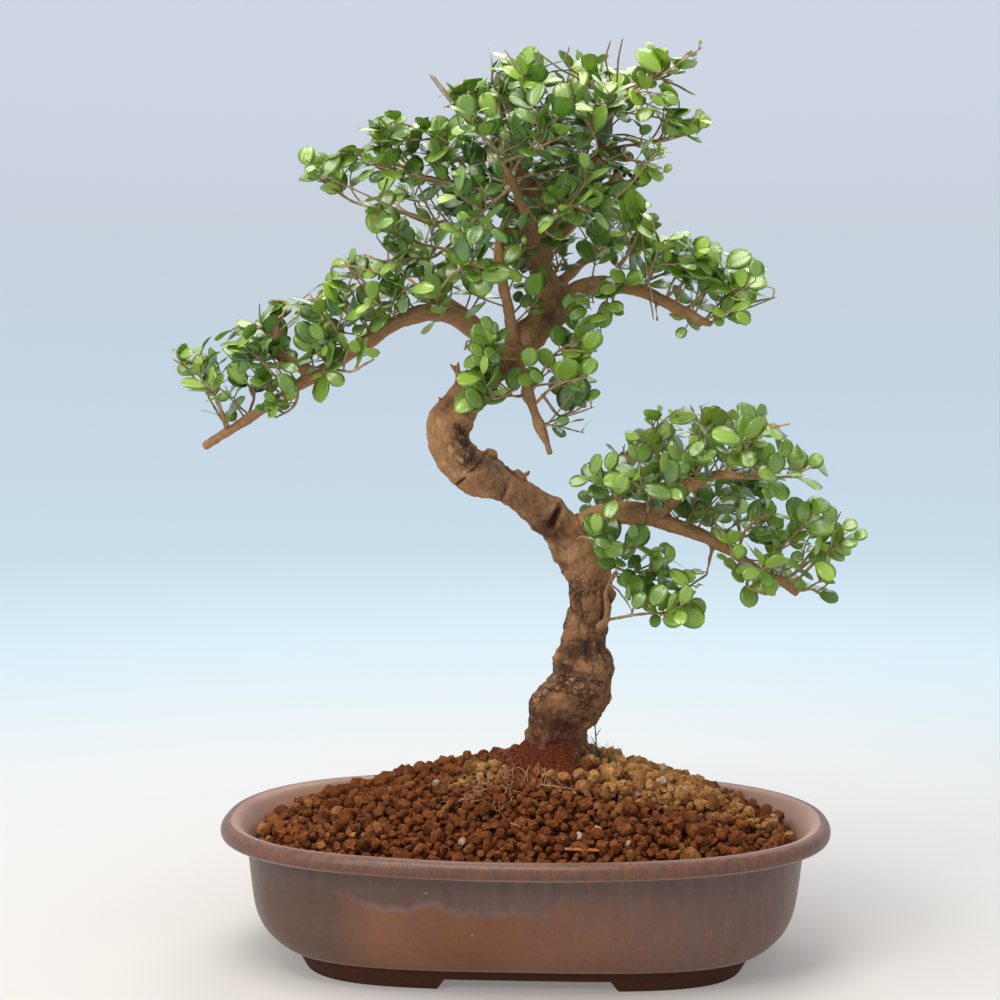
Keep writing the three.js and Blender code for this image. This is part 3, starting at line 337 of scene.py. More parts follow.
def pot_corners():
    """Carries the rounded profile round the oval, with the small unevenness of a hand-finished pot."""
    dx, dy, z, n = round_off(pot_profile, 2).T[:, :, None]
    step = turns(pot_columns, 0.5)
    x, y = oval(dx, dy, n, step - 0.11 * np.sin(4 * step))
    z = np.broadcast_to(z, x.shape)
    corners = np.stack([x, y, z], axis=-1)
    rise = np.clip((z - 12) / 50, 0, 1)[..., None]
    sway = lumps(corners, 70, 1)[..., None] * 0.5 + lumps(corners, 24, 2)[..., None] * 0.12
    outward = corners / np.linalg.norm(corners[..., :2], axis=-1, keepdims=True) * [1, 1, 0]
    lift = np.zeros_like(corners)
    lift[..., 2] = (rise[..., 0] > 0.9) * lumps(corners, 60, 3) * 0.4
    return corners + outward * sway * rise + lift


def settled(piece):
    """A piece's mesh after its modifiers."""
    return piece.evaluated_get(bpy.context.evaluated_depsgraph_get())


def cut_with(piece, *solid):
    """Takes a plain solid away from a piece."""
    cutter = new_piece("cutter", *solid)
    step = piece.modifiers.new("cut", "BOOLEAN")
    step.operation = "DIFFERENCE"
    step.solver = "EXACT"
    step.object = cutter
    made = bpy.data.meshes.new_from_object(settled(piece))
    piece.modifiers.clear()
    piece.data = made
    bpy.data.objects.remove(cutter)


pot = new_piece("oval_pot", *closed_grid(pot_corners(), [0, 0, floor_below], [0, 0, floor_inside]))
bar = [[foot_cut_middle + x, y, z] for y in (-foot_cut_reach, foot_cut_reach) for x, z in foot_cut_face]
cut_with(pot, bar, [[0, 1, 2, 3], [7, 6, 5, 4], [0, 4, 5, 1], [1, 5, 6, 2], [2, 6, 7, 3], [3, 7, 4, 0]])
drill_turn = turns(drill_sides)
drill_ring = drain_radius * np.stack([np.cos(drill_turn), np.sin(drill_turn), 0 * drill_turn], axis=-1)
for side in (-1, 1):
    ends = [[side * drain_middle, 0, z] for z in (drill_from, drill_to)]
    cut_with(pot, *closed_grid(np.array([drill_ring + end for end in ends]), *ends))
pot.data.set_sharp_from_angle(angle=sharp_angle)


# The mottle of clay, glaze, bark and leaf: noise at a place first divided by the stretch along each axis
tree = mottle_group = bpy.data.node_groups.new("mottle", "ShaderNodeTree")
for socket_name, way, kind in (
    ("Place", "INPUT", "Vector"), ("Stretch", "INPUT", "Vector"), ("Scale", "INPUT", "Float"),
    ("Detail", "INPUT", "Float"), ("Roughness", "INPUT", "Float"), ("Patches", "OUTPUT", "Float"),
):
    tree.interface.new_socket(name=socket_name, in_out=way, socket_type="NodeSocket" + kind)
given = {socket.name: Level(socket) for socket in tree.nodes.new("NodeGroupInput").outputs if socket.name}
scaled = level("VectorMath", {0: given.pop("Place"), 1: given.pop("Stretch")}, operation="DIVIDE")
noise = level("TexNoise", {"Vector": scaled, **given}, "Fac")
feed(tree.nodes.new("NodeGroupOutput").inputs["Patches"], noise)


def mottle(place, size, detail=3.0, roughness=0.55, stretch=(1, 1, 1), millimetre=0.001):
    """The mottle group, with patches about as wide as a size in millimetres. A millimetre is 0.001 where the
    place is in metres, and 1 for the place stored along the bark."""
    values = {"Place": place, "Stretch": stretch, "Scale": 1 / (size * millimetre), "Detail": detail,
              "Roughness": roughness}
    return level("Group", values, "Patches", node_tree=mottle_group)


def bump_up(shader, height, distance):
    """Raises the shader's surface by a height from 0 to 1 times a distance in millimetres."""
    feed(shader["Normal"], level("Bump", {"Height": height, "Distance": distance * 0.001, "Strength": 1.0}))


def coats(colour, *layers):
    """A colour with coats of others laid over it in turn, each given as its share and its colour."""
    for share, coat in layers:
        colour = mix(share, colour, coat)
    return colour


glaze, shader = new_finish("brown_glaze", 0.36, Coat_Weight=0.1, Coat_Roughness=0.3, Specular_IOR_Level=0.3)
place, facing = own_place(), level("TexCoord", output="Normal")
x, y, z = numbers_of(place)
patches = mottle(place, 45, 3)
fine = mottle(place, 2.6, 4, 0.7)
streaks = mottle(place, 4, 3, 0.6, stretch=(1, 1, 8))
# The upper glaze ends in a wavy line left of the middle, and fades into the lower one on the right
wave = (mottle(place, 34, 2, 0.5, (1, 1, 30)) - 0.5) * 0.034
drips = (streaks - 0.5) * 0.004
above = z - (wave + drips + 0.046)
crisp, soft = fade(above, 0.0012, -0.0008), fade(above, 0.012, -0.02)
blend = fade(x, -0.012, 0.03)
lower = crisp * (1.0 - blend) + soft * blend
sides = fade(x, -0.09, -0.066) * fade(x, 0.085, 0.015)
edge = fade(above, -0.0022, 0.0002) * fade(above, 0.0032, 0.0008) * sides * (1.0 - blend)
brown = mix(fade(patches, 0.35, 0.7), (124, 77, 50), (136, 90, 64))
left_grey = mix(fade(patches, 0.3, 0.7), (92, 67, 53), (104, 77, 62))
right_grey = mix(fade(streaks, 0.35, 0.68), (109, 82, 72), (118, 89, 79))
band = mix(fade(streaks, 0.35, 0.65), (92, 74, 66), (108, 88, 86))
rust = fade(mottle(place, 2.0, 2, 0.5, (1, 1, 1.5)), 0.57, 0.7)
pinholes = add_node("TexVoronoi", {"Vector": place, "Scale": 95.0}).outputs
pins = fade(Level(pinholes["Distance"]), 0.065, 0.03)
pin_colour = mix(fade(numbers_of(Level(pinholes["Color"]))[0], 0.6, 0.7), (44, 34, 34), (200, 186, 176))
# The lip breaks to orange brown where the glaze is thin, and the inside is a paler pinkish tan, lighter
# towards the right end as a painted highlight
lip = mix(fade(mottle(place, 2.2, 3, 0.6, (1, 1, 3)), 0.4, 0.62), (122, 78, 54), (94, 69, 57))
thin_line = fade(z, 0.0606, 0.0616) * fade(z, 0.0636, 0.0622)
outward = level("VectorMath", {0: level("CombineXYZ", {0: x, 1: y}), 1: facing}, "Value",
                operation="DOT_PRODUCT")
inner_face = fade(outward, 0.003, -0.012) * fade(z, 0.0105, 0.0125)
inner_colour = mix(fade(patches, 0.3, 0.7), (146, 108, 86), (166, 130, 108))
# Below the glaze line the clay is bare, dark and dull
bare = fade(z, 0.0104, 0.0094)
feed(shader["Base Color"], coats(
    mix(fade(x, -0.06, 0.0), left_grey, right_grey), (lower * sides, brown),
    (fade(z, 0.047, 0.056) * 0.6, band), (edge * fade(patches, 0.3, 0.6, 0.1, 0.34), (152, 128, 130)),
    (fade(fine, 0.52, 0.68) * 0.4, (84, 72, 80)),
    (rust * fade(x, -0.1, 0.06, 0.2, 0.5), (150, 88, 58)), (pins * 0.55, pin_colour),
    (fade(z, 0.0125, 0.0112) * 0.5, (172, 142, 122)),
    (fade(z, 0.0612, 0.0632), mix(fade(fine, 0.5, 0.65) * 0.3, lip, (84, 86, 102))),
    (thin_line * 0.5, (190, 160, 138)),
    # Painted highlight: the inside grows lighter towards the right end
    (inner_face, mix(fade(x, 0.02, 0.13), inner_colour, (172, 136, 113))),
    (bare, mix(fade(fine, 0.3, 0.7), (62, 32, 19), (77, 43, 27))),
))
feed(shader["Roughness"], fade(fine, 0.3, 0.7, 0.34, 0.46) + bare * 0.45)
feed(shader["Coat Weight"], fade(bare, 0, 1, 0.1, 0.0))
bump_up(shader, mottle(place, 6, 2) + fine * 0.25, 0.3)
pot.data.materials.clear()
pot.data.materials.append(glaze)
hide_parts("pot")
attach(pot, "root")


# Drain screens: two squares of black plastic net laid over the drain holes before the soil goes in.
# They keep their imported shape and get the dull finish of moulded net.
net_finish, shader = new_finish("black_net", 0.6)
place = own_place()
dust = fade(mottle(place, 4, 3), 0.45, 0.75)
feed(shader["Base Color"], mix(dust, (28, 30, 29), (86, 58, 44)))
for side in ("left", "right"):
    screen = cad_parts["drain_screen_" + side]
    screen.data.materials.clear()
    screen.data.materials.append(net_finish)


# Soil: sieved akadama, a dried clay in crumbs of 3 to 9 mm, heaped up to the foot of the trunk.
# A filling, dark as painted shade for the gaps, lies under two layers of separate crumbs, with older pale
# ones right of the trunk.
trunk_foot = np.array([16.5, 3.5])
mound_half = np.array([139.0, 85.6])
wall_level, wall_rise, mound_peak = 60.0, 4.5, 106.0
heap_rows, heap_columns, filling_sink, floor_top = 40, 120, 2.2, 15


def mound_height(x, y):
    """The heap's height: the level at the pot's wall, rising in a slope that steepens to the trunk."""
    reach = np.hypot(x / mound_half[0], y / mound_half[1])
    out = np.minimum(1, reach)
    moved = np.hypot((x - trunk_foot[0] * (1 - out)) / mound_half[0],
                     (y - trunk_foot[1] * (1 - out)) / mound_half[1])
    t = np.minimum(1, moved)
    wall = wall_level + wall_rise * np.minimum(1, (y / mound_half[1]) ** 2)
    return wall + (mound_peak - wall) * (0.7 * (1 - t) ** 1.3 + 0.3 * (1 - t ** 4))


def heap_corners():
    """The filling under the crumbs: rings from the middle to the wall, down the wall, and over the floor."""
    angle = turns(heap_columns)
    edge = np.array(oval(16.2, 15.6, wall_squareness, angle))[:, None]
    x, y = np.linspace(0.004, 1, heap_rows)[:, None] * edge
    z = mound_height(x, y) - filling_sink + 0.8 * lumps(np.stack([x, y, 0 * x], axis=-1), 5, 11)
    wall = [np.stack([*oval(*inset, angle), np.full(heap_columns, height)], axis=-1) for inset, height in (
        ((19, 18, 2.42), 52), ((24.6, 22.6, 2.75), 30), ((33.5, 30.5, 2.95), 18), ((41.5, 37, 3.15), 15))]
    return np.concatenate([np.stack([x, y, z], axis=-1), wall])


heap_grid = heap_corners()
heap_top = [0, 0, heap_grid[0, :, 2].mean()]
heap = new_piece("soil_filling", *closed_grid(heap_grid, heap_top, [0, 0, floor_top], inward=True))


def crumb_shape():
    """A round-cornered block: a cube with each side cut in four, its corners drawn in towards a ball."""
    corners = np.array([c for c in np.ndindex(3, 3, 3) if c != (1, 1, 1)]) - 1.0
    number = {tuple(c): i for i, c in enumerate(corners)}
    quads = []
    for axis in range(3):
        for sign in (-1.0, 1.0):
            for a, b in ((-1.0, -1.0), (-1.0, 0.0), (0.0, -1.0), (0.0, 0.0)):
                square = [(a, b), (a + 1, b), (a + 1, b + 1), (a, b + 1)]
                quad = [number[tuple(np.insert(p, axis, sign))] for p in square]
                quads.append(quad if (sign > 0) == (axis != 1) else quad[::-1])
    return corners / np.linalg.norm(corners, axis=1, keepdims=True) ** 0.78, np.array(quads)


def copies(faces, count, size):
    """The faces of many like meshes in one: a mesh's faces repeated, each time a mesh's size further on."""
    return (faces[None] + (np.arange(count) * size)[:, None, None]).reshape(-1, faces.shape[1])


def give(piece, name, values):
    """Stores a number or a place for each corner, for the piece's material to read."""
    values = np.asarray(values, np.float32)
    kind, field = ("FLOAT", "value") if values.ndim == 1 else ("FLOAT_VECTOR", "vector")
    piece.data.attributes.new(name, kind, "POINT").data.foreach_set(field, values.ravel())


def crumbs(name, x, y, sizes, sink, seed, tones):
    """Sets a crumb at each place on the heap: turned at random, uneven in its three sizes, and dented."""
    draw = np.random.default_rng(seed)
    shape, quads = crumb_shape()
    count = len(x)
    dents = 1 + 0.4 * (draw.random((count, len(shape), 1)) - 0.5)
    stretched = shape[None] * dents * (0.5 * sizes[:, None] * (0.66 + 0.6 * draw.random((count, 3))))[:, None]
    axis = draw.normal(size=(count, 4))
    w, i, j, k = (axis / np.linalg.norm(axis, axis=1, keepdims=True)).T
    turn = np.array([
        [1 - 2 * (j * j + k * k), 2 * (i * j - k * w), 2 * (i * k + j * w)],
        [2 * (i * j + k * w), 1 - 2 * (i * i + k * k), 2 * (j * k - i * w)],
        [2 * (i * k - j * w), 2 * (j * k + i * w), 1 - 2 * (i * i + j * j)],
    ]).transpose(2, 0, 1)
    turned = np.einsum("nab,nvb->nva", turn, stretched)
    z = mound_height(x, y) + sink * sizes
    corners = turned + np.stack([x, y, z], axis=-1)[:, None]
    piece = new_piece(name, corners, copies(quads, count, len(shape)))
    piece.data.set_sharp_from_angle(angle=math.radians(46))
    give(piece, "crumb_tone", np.repeat(tones, len(shape)))
    return piece


def crumb_places(spacing, keep, seed):
    """Places on a net of triangles over the oval, each shifted at random, clear of the trunk and the wall."""
    draw = np.random.default_rng(seed)
    rows = np.arange(-90, 90, spacing * 0.866)
    y, x = np.meshgrid(rows, np.arange(-145, 145, spacing), indexing="ij")
    x = x + (np.arange(len(rows)) % 2)[:, None] * spacing / 2
    x, y = ((along + spacing * 0.55 * (draw.random(x.shape) - 0.5)).ravel() for along in (x, y))
    reach = (np.abs([x / 139, y / 85.4]) ** wall_squareness).sum(axis=0) ** (1 / wall_squareness)
    from_trunk = np.hypot(x - trunk_foot[0], y - trunk_foot[1])
    toward_front = 0.5 - 0.5 * np.sin(np.arctan2(y - trunk_foot[1], x - trunk_foot[0]) + 0.44)
    good = (reach < 0.972) & (from_trunk > 15.5 + 8 * toward_front ** 3) & (draw.random(len(x)) < keep)
    return x[good], y[good], draw


pumice_tone = 1.5


def crumb_tones(x, y, draw):
    """0 is the fresh red-brown crumb, near 1 the old pale one right of the trunk, above 1 pumice."""
    near = np.exp(-(((x - 62) / 42) ** 2 + ((y + 6) / 24) ** 2))
    left = 0.75 * np.exp(-(((x + 14) / 10) ** 2 + ((y + 16) / 8) ** 2))
    cloud = 0.35 * lumps(np.stack([x, y, 0 * x], axis=-1), 16, 21)
    pale = np.clip(1.35 * np.maximum(near, left) + cloud + 0.5 * (draw.random(len(x)) - 0.62), 0, 1)
    pale = np.clip(pale + 0.16 * np.clip((x - 40) / 60, 0, 1), 0, 1)
    return np.where(draw.random(len(x)) < 0.004 + 0.012 * near, pumice_tone, pale)


crumb_pieces = []
# Each layer's spacing, share kept, seed, least size, spread of sizes and its power, and rise over the heap
for name, spacing, keep, seed, least, spread, power, sink in (
    ("akadama_crumbs", 5.0, 1.0, 5, 3.6, 2.2, 1.5, -0.12),
    ("loose_akadama_crumbs", 5.6, 0.6, 8, 3.0, 4.4, 1.6, 0.46),
):
    x, y, draw = crumb_places(spacing, keep, seed)
    sizes = least + spread * draw.random(len(x)) ** power
    crumb_pieces.append(crumbs(name, x, y, sizes, sink, seed + 1, crumb_tones(x, y, draw)))
old_count = 150
draw = np.random.default_rng(12)
x, y = 28 + 66 * draw.random(old_count), -24 + 44 * draw.random(old_count)
sizes, tones = 3.2 + 5 * draw.random(old_count) ** 1.5, 0.45 + 0.55 * draw.random(old_count)
crumb_pieces.append(crumbs("old_akadama_crumbs", x, y, sizes, 0.42, 13, tones))
x, y = np.array([
    [52, -67], [75, -59], [83, -47], [126, 14], [-44, -20], [-27, -71], [58, -28], [70, -12], [128, 4],
], float).T
crumb_pieces.append(crumbs("pumice_grains", x, y, np.linspace(3.4, 5.6, len(x)), 0.5, 14,
                           np.full(len(x), pumice_tone)))


def stored(name, output="Fac"):
    """What give stored for each corner of the piece, read back by its finish."""
    return level("Attribute", (), output, attribute_name=name)


akadama, shader = new_finish("akadama_clay", 0.95, Specular_IOR_Level=0.2)
place = own_place()
tone = stored("crumb_tone")
grit = mottle(place, 1.1, 3, 0.7)
cloud = mottle(place, 7, 2, 0.6)
fresh = mix(fade(cloud, 0.3, 0.7), (98, 50, 20), (156, 90, 42))
old = mix(fade(cloud, 0.3, 0.7), (172, 116, 60), (222, 168, 104))
colour = coats(fresh, (fade(tone, 0.15, 0.75), old), (fade(tone, 1.2, 1.3), (205, 178, 144)))
feed(shader["Base Color"], mix(fade(grit, 0.6, 0.38), colour, mix(0.6, colour, (46, 20, 10))))
bump_up(shader, grit + mottle(place, 2.8, 2, 0.6), 0.8)
for piece in crumb_pieces:
    piece.data.materials.append(akadama)
    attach(piece, "root")

filling_shade, shader = new_finish("akadama_filling_shade", 1.0, Specular_IOR_Level=0.1)
place = own_place()
grit = mottle(place, 1.6, 4, 0.7)
# Painted shade: the filling is dark so that the gaps between the crumbs read as shadow
feed(shader["Base Color"], mix(fade(grit, 0.3, 0.7), (44, 20, 11), (78, 38, 20)))
bump_up(shader, grit, 0.8)
heap.data.materials.append(filling_shade)
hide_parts("soil")
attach(heap, "root")


# Wood: trunk, root crown, limbs, stubs and knobs, grown as one piece and shaped by wire and pruning.
# Each limb is a tube along its grown axis, the tubes are fused, and bark is raised on the result.
wood_axes = {
    "trunk": [
        [16.5, 3.5, 75.5, 15], [16.5, 3.5, 90, 16.2],
        [16.5, 3.5, 101, 17], [16.5, 3.5, 106.5, 16], [17.5, 3.5, 116.5, 13.4], [21, 5, 125, 14.7],
        [26, 6, 133, 16.5], [28, 7, 141, 17], [30, 7.5, 149, 15.5], [30, 7.5, 156.5, 12.6],
        [32, 6.5, 166.5, 11.6], [33.5, 5.5, 175.5, 11.6], [33.5, 4.5, 184.5, 12.1], [32, 2.5, 195, 13.1],
        [26.5, 0, 207, 13.6], [18, -3, 218, 12], [8, -5.5, 227, 10.2], [-4, -8, 236, 9.7],
        [-15.5, -9.5, 243, 10.7], [-27.5, -10, 248.5, 11.2], [-36, -9.5, 257.5, 12], [-38.5, -7.5, 267, 12],
        [-37, -5.5, 274, 11.5], [-32, -3.5, 282, 10.2], [-26, -1, 288.5, 9.2], [-19, 0, 295.5, 9.2],
        [-12, 1.5, 303.5, 9.8], [-6, 3, 309.5, 9.8],
    ],
    "upper_trunk": [
        [-10, 2.5, 306, 7.7], [-0.5, 4, 314, 8.2], [9, 5.5, 323.5, 9.3], [13.5, 6.5, 331, 9.8],
        [10.5, 7.5, 341, 8.3], [7.5, 8.5, 351.5, 8], [5.5, 8, 361.5, 8.8], [4.5, 7, 371, 9.3],
        [3, 6, 382, 7.7], [2.5, 6, 390.5, 5.2],
    ],
    "left_limb": [
        [-3.5, 3, 307, 6.7], [-13, 1.5, 310.5, 6.9], [-21.5, -1, 316, 6.2], [-30, -3.5, 322.5, 5.1],
        [-38, -4.5, 326.5, 4.6], [-46.5, -6, 328, 4.6], [-56.5, -8.5, 326, 4.6], [-67.5, -11, 321, 4.3],
        [-80.5, -13.5, 312.5, 4.3], [-92, -15, 304.5, 3.8], [-102.5, -16.5, 297.5, 3.6],
        [-114.5, -17, 290.5, 3], [-128, -16.5, 281.5, 2.8], [-141.5, -16, 272.5, 2.8],
        [-151.5, -15.5, 266.5, 2.8], [-162.5, -15, 259.5, 2.5],
    ],
    "crook_branch": [
        [-103, -16.5, 296.5, 2.8], [-111, -18.5, 299.5, 3], [-120, -21, 304.5, 2.8], [-124, -22, 307.5, 2.5],
        [-123.5, -23, 313.5, 2.3], [-124, -24, 322.5, 1.8],
    ],
    "right_limb": [
        [11.5, 6.5, 330, 6.7], [20, 6, 334.5, 6.2], [28.5, 4, 340, 5.1], [38.5, 2.5, 342.5, 4.4],
        [49.5, 0, 341, 3.8], [60.5, -1.5, 338, 3.6], [70, -3, 333.5, 3.3], [80, -4.5, 328, 3.1],
        [89, -6.5, 323.5, 2.8], [94, -7, 321.5, 2],
    ],
    "hanging_stub": [
        [-5, -2, 309, 3.6], [-2, -8, 302, 2.5], [0.5, -12, 292.5, 2.4], [3, -14, 284.5, 3.1],
        [5.5, -15, 277, 2.2], [8.5, -14.5, 269, 3], [11.5, -13.5, 262, 1.7], [13.2, -12.5, 256, 1.7],
    ],
    "pale_limb": [
        [-6.5, -2.5, 308, 3.6], [-6.5, -5.5, 316.5, 3.1], [-8, -8.5, 329.5, 2.8], [-10.5, -9.5, 340.5, 2.8],
        [-12.5, -9.5, 353.5, 2.8], [-12, -7.5, 366.5, 2.3], [-8.5, -4.5, 378.5, 1.8],
    ],
    "lower_limb": [
        [30, -1, 215, 10.2], [39.5, -3.5, 223, 8.2], [49.5, -6, 226, 6.4], [61.5, -8.5, 225, 5.6],
        [73, -10, 221, 4.3], [84, -11.5, 217.5, 3.8], [95, -12, 213, 3.5], [105.5, -12.5, 207, 3],
        [113, -12.5, 201, 2.8], [121.5, -11, 196, 2.5], [129.5, -9.5, 192.5, 2.3], [138, -8, 185.5, 1.8],
    ],
    "lower_fork": [
        [64, -8.5, 224.5, 6.1], [70, -10, 232.5, 6.3], [75, -11, 239.5, 6.1], [78.5, -11.5, 246.5, 5.6],
        [79, -12.5, 254, 5.1],
    ],
    "apex_left": [
        [2.5, 6, 383.5, 5.2], [0.5, 4, 393.5, 3.9], [-4.5, 1, 405.5, 2.8], [-8.5, -2.5, 417.5, 2],
        [-11.5, -4.5, 430, 1.5],
    ],
    "apex_mid": [
        [4.5, 6, 379, 5.2], [5.5, 8, 390.5, 4.1], [10, 10.5, 404, 3.1], [14.5, 12.5, 418, 2.3],
        [17.5, 13, 431.5, 1.6],
    ],
    "apex_right": [
        [7.5, 7.5, 367, 5.7], [18, 7, 376, 4.1], [26, 5, 388.5, 3.3], [33.5, 3.5, 401.5, 2.8],
        [39, 1.5, 412.5, 2.3], [43, 1, 425, 1.8], [46, 0, 436, 1.3],
    ],
    "side_right": [[10.5, 8.5, 362.5, 4.1], [22, 13, 372, 3.1], [33, 18.5, 384, 2.3], [48, 24, 401, 1.6]],
    "side_left": [
        [1.5, 6, 374, 3.6], [-9, 1.5, 382, 2.8], [-21, -4, 389, 2.3], [-36, -9.5, 392.5, 2],
        [-52.5, -14, 395.5, 1.5], [-66.5, -18, 399.5, 1.1],
    ],
    "low_left": [
        [-3, 6, 369, 3.4], [-18.5, 9, 369, 2.3], [-33.5, 12.5, 371, 2.1], [-49, 15, 374.5, 1.7],
        [-64, 16.5, 380, 1.3],
    ],
    "back_high": [[4, 12, 369, 4.2], [5.5, 32.5, 379.5, 3.4], [8, 50.5, 392, 2.7], [12, 66.5, 404, 1.9]],
    "front_high": [[3.5, 2, 371.5, 3.9], [0, -18, 380, 3], [-4, -36, 389, 2.2], [-7, -50.5, 396, 1.7]],
    "back_right": [
        [11.5, 10.5, 336, 4.1], [20.5, 29, 346.5, 3.2], [30.5, 47.5, 356.5, 2.4], [41.5, 64, 364.5, 1.6],
    ],
    "back_left": [
        [-13.5, 7.5, 310, 4.1], [-29, 25, 324.5, 3.2], [-45, 40, 336, 2.4], [-62.5, 53.5, 344, 1.6],
    ],
    "lower_back": [[33.5, 5.5, 219.5, 5.2], [44.5, 26, 229, 3.7], [59.5, 44.5, 237, 2.7], [75, 61, 242, 1.9]],
    "lower_front": [
        [71, -11, 229.5, 3.5], [83.5, -20.5, 241, 2.8], [95.5, -28, 247, 2.2], [110, -33.5, 246.5, 1.7],
    ],
    "low_shoot": [
        [34, 2, 164, 2.8], [40.5, -6.5, 169.5, 2.3], [42.5, -11, 177.5, 2], [41.5, -14.5, 187, 1.5],
        [46.5, -16, 197.5, 1.3],
    ],
    "upper_knob": [[-22, -6, 246, 7.8], [-19.5, -8, 255.5, 5.4]],
    "upper_knob_lip": [[-19, -9, 252, 4.6], [-16, -11, 257.5, 3.6]],
    "lower_knob": [[-10, -5, 238, 7.4], [-8, -8, 246, 5.8]],
    "lower_knob_lip": [[-6, -9, 243, 4.6], [-1.5, -10, 246, 3.6]],
    "lower_knob_horn": [[-1, -9, 244, 1.6], [3, -10, 247.5, 0.8]],
    "elbow_ridge": [[-30, -8, 246, 6.5], [-33, -10, 239.5, 3.4]],
    "dead_snag": [[-34, -2, 283, 2.6], [-34, -5, 292, 1.9], [-33.5, -6, 303, 1.2]],
    "dead_snag_fork": [[-34, -5, 296, 1.3], [-38, -6, 302, 0.8]],
    "thorn_snag": [[-36, -6, 276, 1.1], [-44, -7, 285, 0.7]],
    "elbow_snag": [[-21, -4, 322, 1.1], [-30, -8, 309, 0.7]],
    "lower_snag": [[95, -12, 213, 1.2], [92, -14, 196, 0.8]],
    "right_snag": [[66, -3, 336, 1.1], [67, -6, 323, 0.7]],
}
# Knobs and burls on the trunk: place along it by ring number, angle round it, height and spread
knobs = np.array([
    [4.3, 1.9, 0.25, 0.7], [5, 4.6, 0.18, 0.6], [7, 3.3, 0.42, 0.7], [8.4, 2.6, 0.25, 0.6],
    [17.6, 3.4, 0.5, 0.55], [18.9, 3.6, 0.5, 0.55], [19.5, 0.2, 0.12, 0.8],
])


def follow(route, t):
    """Points on the smooth curve that passes through a route's rows, for shares t from 0 to 1."""
    route = np.asarray(route, float)
    spans = len(route) - 1
    place = np.clip(np.asarray(t, float), 0, 1) * spans
    i = np.minimum(place.astype(int), spans - 1)
    f = (place - i)[..., None]
    padded = np.vstack([2 * route[0] - route[1], route, 2 * route[-1] - route[-2]])
    p0, p1, p2, p3 = (padded[i + k] for k in range(4))
    return (p0 * (-0.5 * f ** 3 + f ** 2 - 0.5 * f) + p1 * (1.5 * f ** 3 - 2.5 * f ** 2 + 1)
            + p2 * (-1.5 * f ** 3 + 2 * f ** 2 + 0.5 * f) + p3 * (0.5 * f ** 3 - 0.5 * f ** 2))


def unit(vectors):
    """Vectors made one long."""
    return vectors / np.maximum(np.linalg.norm(vectors, axis=-1, keepdims=True), 1e-9)


def side_ways(tangent):
    """Two directions square to a way: level and across it, and square to both."""
    lead = np.array([0, 0, 1.0]) if abs(tangent[2]) < 0.9 else np.array([1.0, 0, 0])
    across = unit(np.cross(tangent, lead))
    return across, np.cross(tangent, across)


def carried_frames(points, across=None):
    """Carries a side direction along a line of points without a twist. Gives tangent, across and third."""
    tangent = unit(np.gradient(points, axis=0))
    if across is None:
        across = side_ways(tangent[0])[0]
    carried = []
    for way in tangent:
        across = unit(across - way * (across @ way))
        carried.append(across)
    carried = np.array(carried)
    return tangent, carried, np.cross(tangent, carried)


def tube(points, radii, sides, tip=0.3, across=None, factors=1):
    """A closed tube: rings of corners, each a point of a line plus its radius times the cosine and sine of
    the angle, and at each end a point that stands out by a share of the radius."""
    _, across, third = carried_frames(points, across)
    angle = turns(sides)
    rings = np.cos(angle)[None, :, None] * across[:, None] + np.sin(angle)[None, :, None] * third[:, None]
    grid = points[:, None] + rings * (radii[:, None] * factors)[..., None]
    middle = grid.mean(axis=1)
    reach = tip * np.linalg.norm(grid - middle[:, None], axis=-1).mean(axis=1)
    start, end = (middle[at] + unit(middle[at] - middle[near]) * reach[at] for at, near in ((0, 1), (-1, -2)))
    return closed_grid(grid, start, end)


def trunk_swelling(ring_number, angle):
    """How far the trunk stands out at a ring and angle: three low flutes and a round rise at each knob."""
    factor = 1 + 0.03 * np.cos(3 * angle + 0.7 * ring_number)
    for ring, middle, height, spread in knobs:
        turn = np.arctan2(np.sin(angle - middle), np.cos(angle - middle))
        factor = factor + height * np.exp(-((ring_number - ring) ** 2 + (turn / spread) ** 2))
    return factor


def joined(parts):
    """Puts several sets of corners, quads and triangles into one."""
    corners, quads, triangles = zip(*parts)
    first = np.cumsum([0] + [len(part) for part in corners])
    quads, triangles = (np.vstack([part + start for part, start in zip(faces, first)])
                        for faces in (quads, triangles))
    return np.vstack(corners), quads, triangles


def route_length(route):
    """The length of a route from point to point."""
    return np.linalg.norm(np.diff(np.asarray(route, float), axis=0), axis=1).sum()


ring_step, limb_shift, thick_sides, thin_sides = 1.6, 211.0, 40, 16
voxel, ease_rounds = 0.9, 5
tubes, line = [], []
for limb_number, (limb, rows) in enumerate(wood_axes.items()):
    rows = np.array(rows, float)
    share = np.linspace(0, 1, max(int(route_length(rows[:, :3]) / ring_step), 4))
    smooth = follow(rows, share)
    points, radii = smooth[:, :3], smooth[:, 3]
    radii = radii * (1 + 0.13 * lumps(points, 7, 44) + 0.08 * lumps(points, 3, 45))
    sides = thick_sides if limb in ("trunk", "upper_trunk") else thin_sides
    swelling = trunk_swelling(share[:, None] * (len(rows) - 1), turns(sides)) if limb == "trunk" else 1
    tubes.append(tube(points, radii, sides, factors=swelling))
    _, across, third = carried_frames(points)
    travelled = np.concatenate([[0], np.cumsum(np.linalg.norm(np.diff(points, axis=0), axis=1))])
    line.append(np.column_stack([points, radii, across, third, travelled + limb_shift * limb_number]))
line = np.vstack(line)
line_points, line_radii, line_across, line_third, line_length = (
    line[:, :3], line[:, 3], line[:, 4:7], line[:, 7:10], line[:, 10])


def numbers_in(items, field, width, kind=np.float32):
    """The numbers that a mesh keeps in a field, in rows of a width."""
    values = np.zeros(len(items) * width, kind)
    items.foreach_get(field, values)
    return values.reshape(-1, width)


